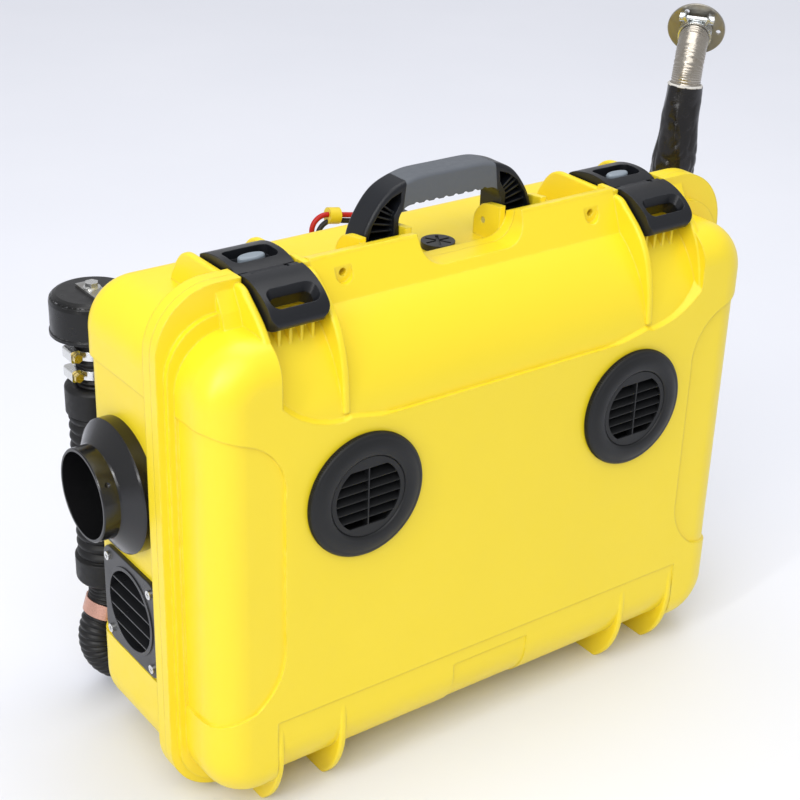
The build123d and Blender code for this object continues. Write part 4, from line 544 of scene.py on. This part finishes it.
HOSE_R, HOSE_RIB, HOSE_BORE, HOSE_PITCH = 0.0205, 0.0020, 0.0150, 0.0054
HOSE_DROP, HOSE_LEAN_R, HOSE_RUN, HOSE_LOOP_R, HOSE_TAIL = 0.008, 0.080, 0.005, 0.042, 0.010
HOSE_LEAN, HOSE_RISE = math.radians(26), math.radians(35)

BOOT_ENTRY = at(-187, 224, 55)
BOOT_R, BOOT_SLIM, BOOT_BEND = 0.0220, 0.0012, 0.026
BOOT_SOCKET, BOOT_SOCKET_R, BOOT_BORE = 0.010, 0.0188, 0.0100
BOOT_LIP, BOOT_LIP_AT, BOOT_LIP_WIDTH = 0.0012, 0.0022, 0.0016
BOOT_WAIST, BOOT_WAIST_AT, BOOT_WAIST_WIDTH = 0.0008, 0.008, 0.004
COLLAR_OUT, COLLAR_THICK, COLLAR_FILLET, COLLAR_ROUND = 0.005, 0.004, 0.004, 0.0015
BOOT_INSIDE = 0.036  # how far the boot reaches in from the back wall's face
PLUG_R, PLUG_LONG, BOOT_PIPE_R = 0.0173, 0.018, 0.0120

NECK_LOW, NECK_TOP, NECK_R = 0.340, 0.3968, 0.0188
FOOT_TOP, FOOT_R, FOOT_RIB, FOOT_PITCH = 0.352, 0.0180, 0.0016, 0.006
GROOVE_LOW, GROOVE_TOP, GROOVE_R, GROOVE_RIB = 0.364, 0.372, 0.0176, 0.0022
GROOVE_WALL, GROOVE_WALL_AT = 0.0012, 0.0034
BEAD, BEAD_Z, BEAD_WIDTH = 0.0009, 0.3905, 0.0018

FINE_STEP, RUBBER_STEP, LINE_STEP = 0.0004, 0.0006, 0.01
SILENCER_STEP, SILENCER_AROUND, HOSE_AROUND = 0.0005, 80, 64


def intake_silencer(look):
    """Moulded rubber silencer: smooth cuffs with soft edges and deep round ribs between them."""
    tail_low = BELLOWS_LOW - TAIL_H
    pitch = (CUFF_LOW - BELLOWS_LOW) / BELLOWS_RIBS

    def outer(s, a):
        z = CUFF_TOP - s
        if z > CUFF_LOW:
            return CUFF_R - CUFF_ROUND * near(s, CUFF_EDGE) ** 2
        if z > BELLOWS_LOW:
            rib = BELLOWS_R - BELLOWS_DEPTH * (1 - ridge((CUFF_LOW - z) / pitch, 0.55))
            cuff = eased_step(z, CUFF_LOW - CUFF_STEP_IN, BELLOWS_STEP)
            tail = eased_step(-z, -BELLOWS_LOW - TAIL_STEP_IN, BELLOWS_STEP)
            return rib + (CUFF_R - rib) * cuff + (TAIL_R - rib) * tail
        return TAIL_R - TAIL_ROUND * near(z - tail_low, TAIL_EDGE) ** 2

    line = trace(INTAKE_AXIS + UP * CUFF_TOP, DOWN, RIGHT, [(CUFF_TOP - tail_low,)], SILENCER_STEP)
    bore = NECK_OUT + NECK_GAP
    body = swept("intake_silencer_rubber", line, outer, bore, SILENCER_AROUND)
    finished(body, look["neck_rubber"], "base", "neck_rubber", "intake_silencer")


def hose_moves(extra):
    """From inside the silencer down, out to the left, and in a loop back under to the right."""
    return [(SPIGOT + HOSE_DROP,), (BACK, HOSE_LEAN_R, HOSE_LEAN), (HOSE_RUN,),
            (-BACK, HOSE_LOOP_R, HOSE_LEAN + math.pi / 2 + HOSE_RISE), (HOSE_TAIL + extra,)]


def intake_hose(look):
    """Ribbed hose that loops under the silencer and ends in the boot's socket."""
    def outer(s, a):
        if s < SPIGOT:
            return HOSE_R - HOSE_RIB
        return HOSE_R - HOSE_RIB * (1 - ridge((s - SPIGOT) / HOSE_PITCH, 0.6))

    top = INTAKE_AXIS + UP * (BELLOWS_LOW - TAIL_H + SPIGOT)
    line = trace(top, DOWN, RIGHT, hose_moves(BOOT_SOCKET), RUBBER_STEP)
    hose = swept("intake_hose_ribbed", line, outer, HOSE_BORE, HOSE_AROUND)
    finished(hose, look["hose_rubber"], "base", "hose_rubber", "intake_hose")


def intake_boot(look):
    """Smooth rubber elbow with a rolled lip, a collar on the back wall and a pipe inside the case."""
    top = INTAKE_AXIS + UP * (BELLOWS_LOW - TAIL_H + SPIGOT)
    mouth = trace(top, DOWN, RIGHT, hose_moves(0.0), LINE_STEP)[-1][0]
    corner = Vector((BOOT_ENTRY.x, mouth.y, BOOT_ENTRY.z))
    inside = BOOT_ENTRY - BACK * BOOT_INSIDE
    moves = along([mouth, corner, inside], [BOOT_BEND])
    line = trace(mouth, (corner - mouth).normalized(), BACK, moves, RUBBER_STEP)
    wall = sum((b[0] - a[0]).length for a, b in zip(line, line[1:])) - BOOT_INSIDE
    collar = wall - COLLAR_THICK

    def outer(s, a):
        if s < collar:
            lip = BOOT_LIP * hump(s, BOOT_LIP_AT, BOOT_LIP_WIDTH)
            waist = BOOT_WAIST * hump(s, BOOT_WAIST_AT, BOOT_WAIST_WIDTH)
            fillet = COLLAR_FILLET * near(collar - s, COLLAR_FILLET) ** 2
            return BOOT_R - BOOT_SLIM - waist + lip + fillet
        if s < wall:
            return BOOT_R + COLLAR_OUT - COLLAR_ROUND * near(s - collar, COLLAR_ROUND) ** 2
        return PLUG_R if s < wall + PLUG_LONG else BOOT_PIPE_R

    def bore(s):
        return BOOT_SOCKET_R if s < BOOT_SOCKET else BOOT_BORE

    boot = swept("intake_boot_rubber", line, outer, bore, HOSE_AROUND)
    finished(boot, look["grommet_rubber"], "base", "grommet_rubber", "intake_grommet")


def intake_neck(look):
    """Rubber neck between silencer and can: ribbed foot, a rib in a groove, a bead on top."""
    middle = (GROOVE_LOW + GROOVE_TOP) / 2
    groove = GROOVE_TOP - GROOVE_LOW

    def outer(s, a):
        z = NECK_LOW + s
        if z < FOOT_TOP:
            return FOOT_R + FOOT_RIB * ridge((z - NECK_LOW) / FOOT_PITCH)
        if GROOVE_LOW < z < GROOVE_TOP:
            wall = GROOVE_WALL * (abs(z - middle) > GROOVE_WALL_AT)
            return GROOVE_R + GROOVE_RIB * ridge((z - GROOVE_LOW) / groove) + wall
        return NECK_R + BEAD * hump(z, BEAD_Z, BEAD_WIDTH)

    line = trace(INTAKE_AXIS + UP * NECK_LOW, UP, RIGHT, [(NECK_TOP - NECK_LOW,)], FINE_STEP)
    neck = swept("intake_neck_rubber", line, outer, HOSE_BORE, HOSE_AROUND)
    finished(neck, look["neck_rubber"], "base", "neck_rubber", "intake_neck")


# ---- lid vents ----
VENT_X, VENT_Z = 156.0, 314.6
VENT_R, VENT_THICK, VENT_BORE, VENT_TUBE_R, VENT_DEEP = 0.0595, 0.0095, 0.0386, 0.0445, 0.030
VENT_RECESS, VENT_RECESS_DEEP = 0.0025, 0.004  # narrower stretch at the tube's back end
# the edge round the bore: out from the bore, back from the front
VENT_EDGE = ((0.0, 0.0032), (0.0004, 0.0022), (0.0014, 0.0015))
# the dish starts this far from the bore, ends this far from the rim, and lies this far back
DISH_FROM, DISH_TO, DISH_FRONT = 0.0022, 0.0050, 0.0010
DISH_FALL, DISH_HOLLOW, DISH_COUNT = 0.0016, 0.0008, 12
SHOULDER_FRONT, SHOULDER_DEEP, SHOULDER_COUNT = 0.0026, 0.0042, 8
RIM_FRONT, RIM_CHAMFER = 0.0074, 0.0008
KNURLS, KNURL_POINTS, KNURL_DEPTH = 180, 4, 0.0009
KNURL_BAND, KNURL_FRONT, KNURL_BACK = 0.0012, 0.0045, 0.0004


def vent_profile():
    """(radius, depth behind the lid face) round the ring's section, with its dished face."""
    front, r, bore = -VENT_THICK, VENT_R, VENT_BORE
    run = [(bore, VENT_DEEP - VENT_RECESS_DEEP)]
    run += [(bore + out, front + behind) for out, behind in VENT_EDGE]
    first, width = bore + DISH_FROM, r - DISH_TO - bore - DISH_FROM
    for k in range(DISH_COUNT + 1):
        share = k / DISH_COUNT
        dish = DISH_FALL * share ** 2 - DISH_HOLLOW * math.sin(math.pi * share)
        run.append((first + width * share, front + DISH_FRONT + dish))
    for k in range(1, SHOULDER_COUNT + 1):
        turn = math.pi / 2 * k / SHOULDER_COUNT
        run.append((r - DISH_TO + DISH_TO * math.sin(turn),
                    front + SHOULDER_FRONT + SHOULDER_DEEP * (1 - math.cos(turn))))
    run += [(r, front + RIM_FRONT), (r, -RIM_CHAMFER), (r - RIM_CHAMFER, 0)]
    run += [(VENT_TUBE_R, 0), (VENT_TUBE_R, VENT_DEEP)]
    run += [(bore - VENT_RECESS, VENT_DEEP), (bore - VENT_RECESS, VENT_DEEP - VENT_RECESS_DEEP)]
    return run


def vent_ring(name, x_mm, look):
    """Ring of one lid vent with a finely knurled rim."""
    centre = at(x_mm, 0, VENT_Z)
    around = KNURLS * KNURL_POINTS
    rings = []
    for r, depth in vent_profile():
        rim = r > VENT_R - KNURL_BAND and -VENT_THICK + KNURL_FRONT < depth < -KNURL_BACK
        ring = []
        for k in range(around):
            a = 2 * math.pi * k / around
            cut = KNURL_DEPTH * (k % KNURL_POINTS in (0, 1)) if rim else 0.0
            ring.append(centre + Vector(((r - cut) * math.cos(a), depth, (r - cut) * math.sin(a))))
        rings.append(ring)
    made = shell(name, rings)
    for face in made.data.polygons:
        middle = face.center - centre
        face.use_smooth = math.hypot(middle.x, middle.z) < VENT_R - KNURL_BAND
    finished(made, look["vent_black"], "lid", "vent_black", "vent_rings")


# ---------------------------------------------------------------- stage

# camera, fitted to the photograph
AZIMUTH = math.radians(-36.6)
ELEVATION = math.radians(26.4)
ROLL = math.radians(1.8)
DISTANCE = 1.4121
AIM = Vector((-0.1209, 0.0, 0.3953))  # from the case's origin
LENS, SENSOR = 74.34, 36.0
CLIP_END = 50

FLOOR_SIZE, FLOOR_BACK = 9.0, 2.4
FLOOR_DARK, FLOOR_PALE = (0.74, 0.755, 0.81), (0.79, 0.80, 0.85)
WORLD_COLOUR, WORLD_STRENGTH = (0.95, 0.96, 1.0, 1.0), 0.62
WINDOW_POWER, WINDOW_WAY, WINDOW_SPREAD = 1.15, Vector((0.45, 0.55, -1.0)), math.radians(50)
AREA_LIGHTS = (  # name, place, aim, size, power
    ("softbox_left", (-2.2, -1.6, 1.9), (0, 0, 0.25), (1.6, 1.2), 16),
    ("softbox_top", (0.4, 0.3, 2.8), (0, 0, 0.3), (2.0, 1.4), 24),
    ("strip_left", (-1.5, -0.5, 1.2), (0.3, 0.0, 0.5), (0.12, 1.3), 7),
)


def camera():
    data = bpy.data.cameras.new("photo_camera")
    data.lens = LENS
    data.sensor_width = SENSOR
    data.sensor_fit = "HORIZONTAL"
    data.clip_end = CLIP_END
    level = math.cos(ELEVATION)
    back = Vector((math.sin(AZIMUTH) * level, -math.cos(AZIMUTH) * level, math.sin(ELEVATION)))
    right = (-back).cross(UP).normalized()
    up = right.cross(-back)
    tilted_right = right * math.cos(ROLL) + up * math.sin(ROLL)
    tilted_up = up * math.cos(ROLL) - right * math.sin(ROLL)
    made = bpy.data.objects.new("photo_camera", data)
    turn = Matrix((tilted_right, tilted_up, back)).transposed()
    made.matrix_world = Matrix.Translation(CASE_ORIGIN + AIM + back * DISTANCE) @ turn.to_4x4()
    bpy.context.scene.collection.objects.link(made)
    bpy.context.scene.camera = made


def lamp(name, kind, power, direction):
    """A light that shines along a direction, with its data for the caller to shape."""
    data = bpy.data.lights.new(name, kind)
    data.energy = power
    made = bpy.data.objects.new(name, data)
    made.rotation_euler = direction.to_track_quat("-Z", "Y").to_euler()
    bpy.context.scene.collection.objects.link(made)
    return made


def area_light(name, place, aim, size, power):
    made = lamp(name, "AREA", power, Vector(aim) - Vector(place))
    made.location = place
    made.data.shape = "RECTANGLE"
    made.data.size, made.data.size_y = size


def lights():
    world = bpy.data.worlds.new("studio")
    bpy.context.scene.world = world
    world.use_nodes = True
    back = world.node_tree.nodes["Background"]
    back.inputs["Color"].default_value = WORLD_COLOUR
    back.inputs["Strength"].default_value = WORLD_STRENGTH
    window = lamp("window", "SUN", WINDOW_POWER, WINDOW_WAY)
    window.data.angle = WINDOW_SPREAD
    for name, place, aim, size, power in AREA_LIGHTS:
        area_light(name, place, aim, size, power)


def floor():
    bpy.ops.mesh.primitive_plane_add(size=FLOOR_SIZE, location=(0, FLOOR_BACK, 0))
    plane = bpy.context.object
    plane.name = "studio_floor"
    look = Look("studio_paper", 0.8, specular=0.2)
    look.set("Base Color", look.blend(look.cloud(size=0.6), FLOOR_DARK, FLOOR_PALE))
    look.set("Normal", look.relief(look.cloud(size=0.004), 0.00008))
    plane.data.materials.append(look.mat)


camera()
lights()
floor()
bpy.context.scene.view_settings.view_transform = "Standard"
looks = dress_nodes()
exhaust_pipe(looks)
exhaust_sleeve(looks)
intake_silencer(looks)
intake_hose(looks)
intake_boot(looks)
intake_neck(looks)
vent_ring("vent_ring_left_knurled", -VENT_X, looks)
vent_ring("vent_ring_right_knurled", VENT_X, looks)
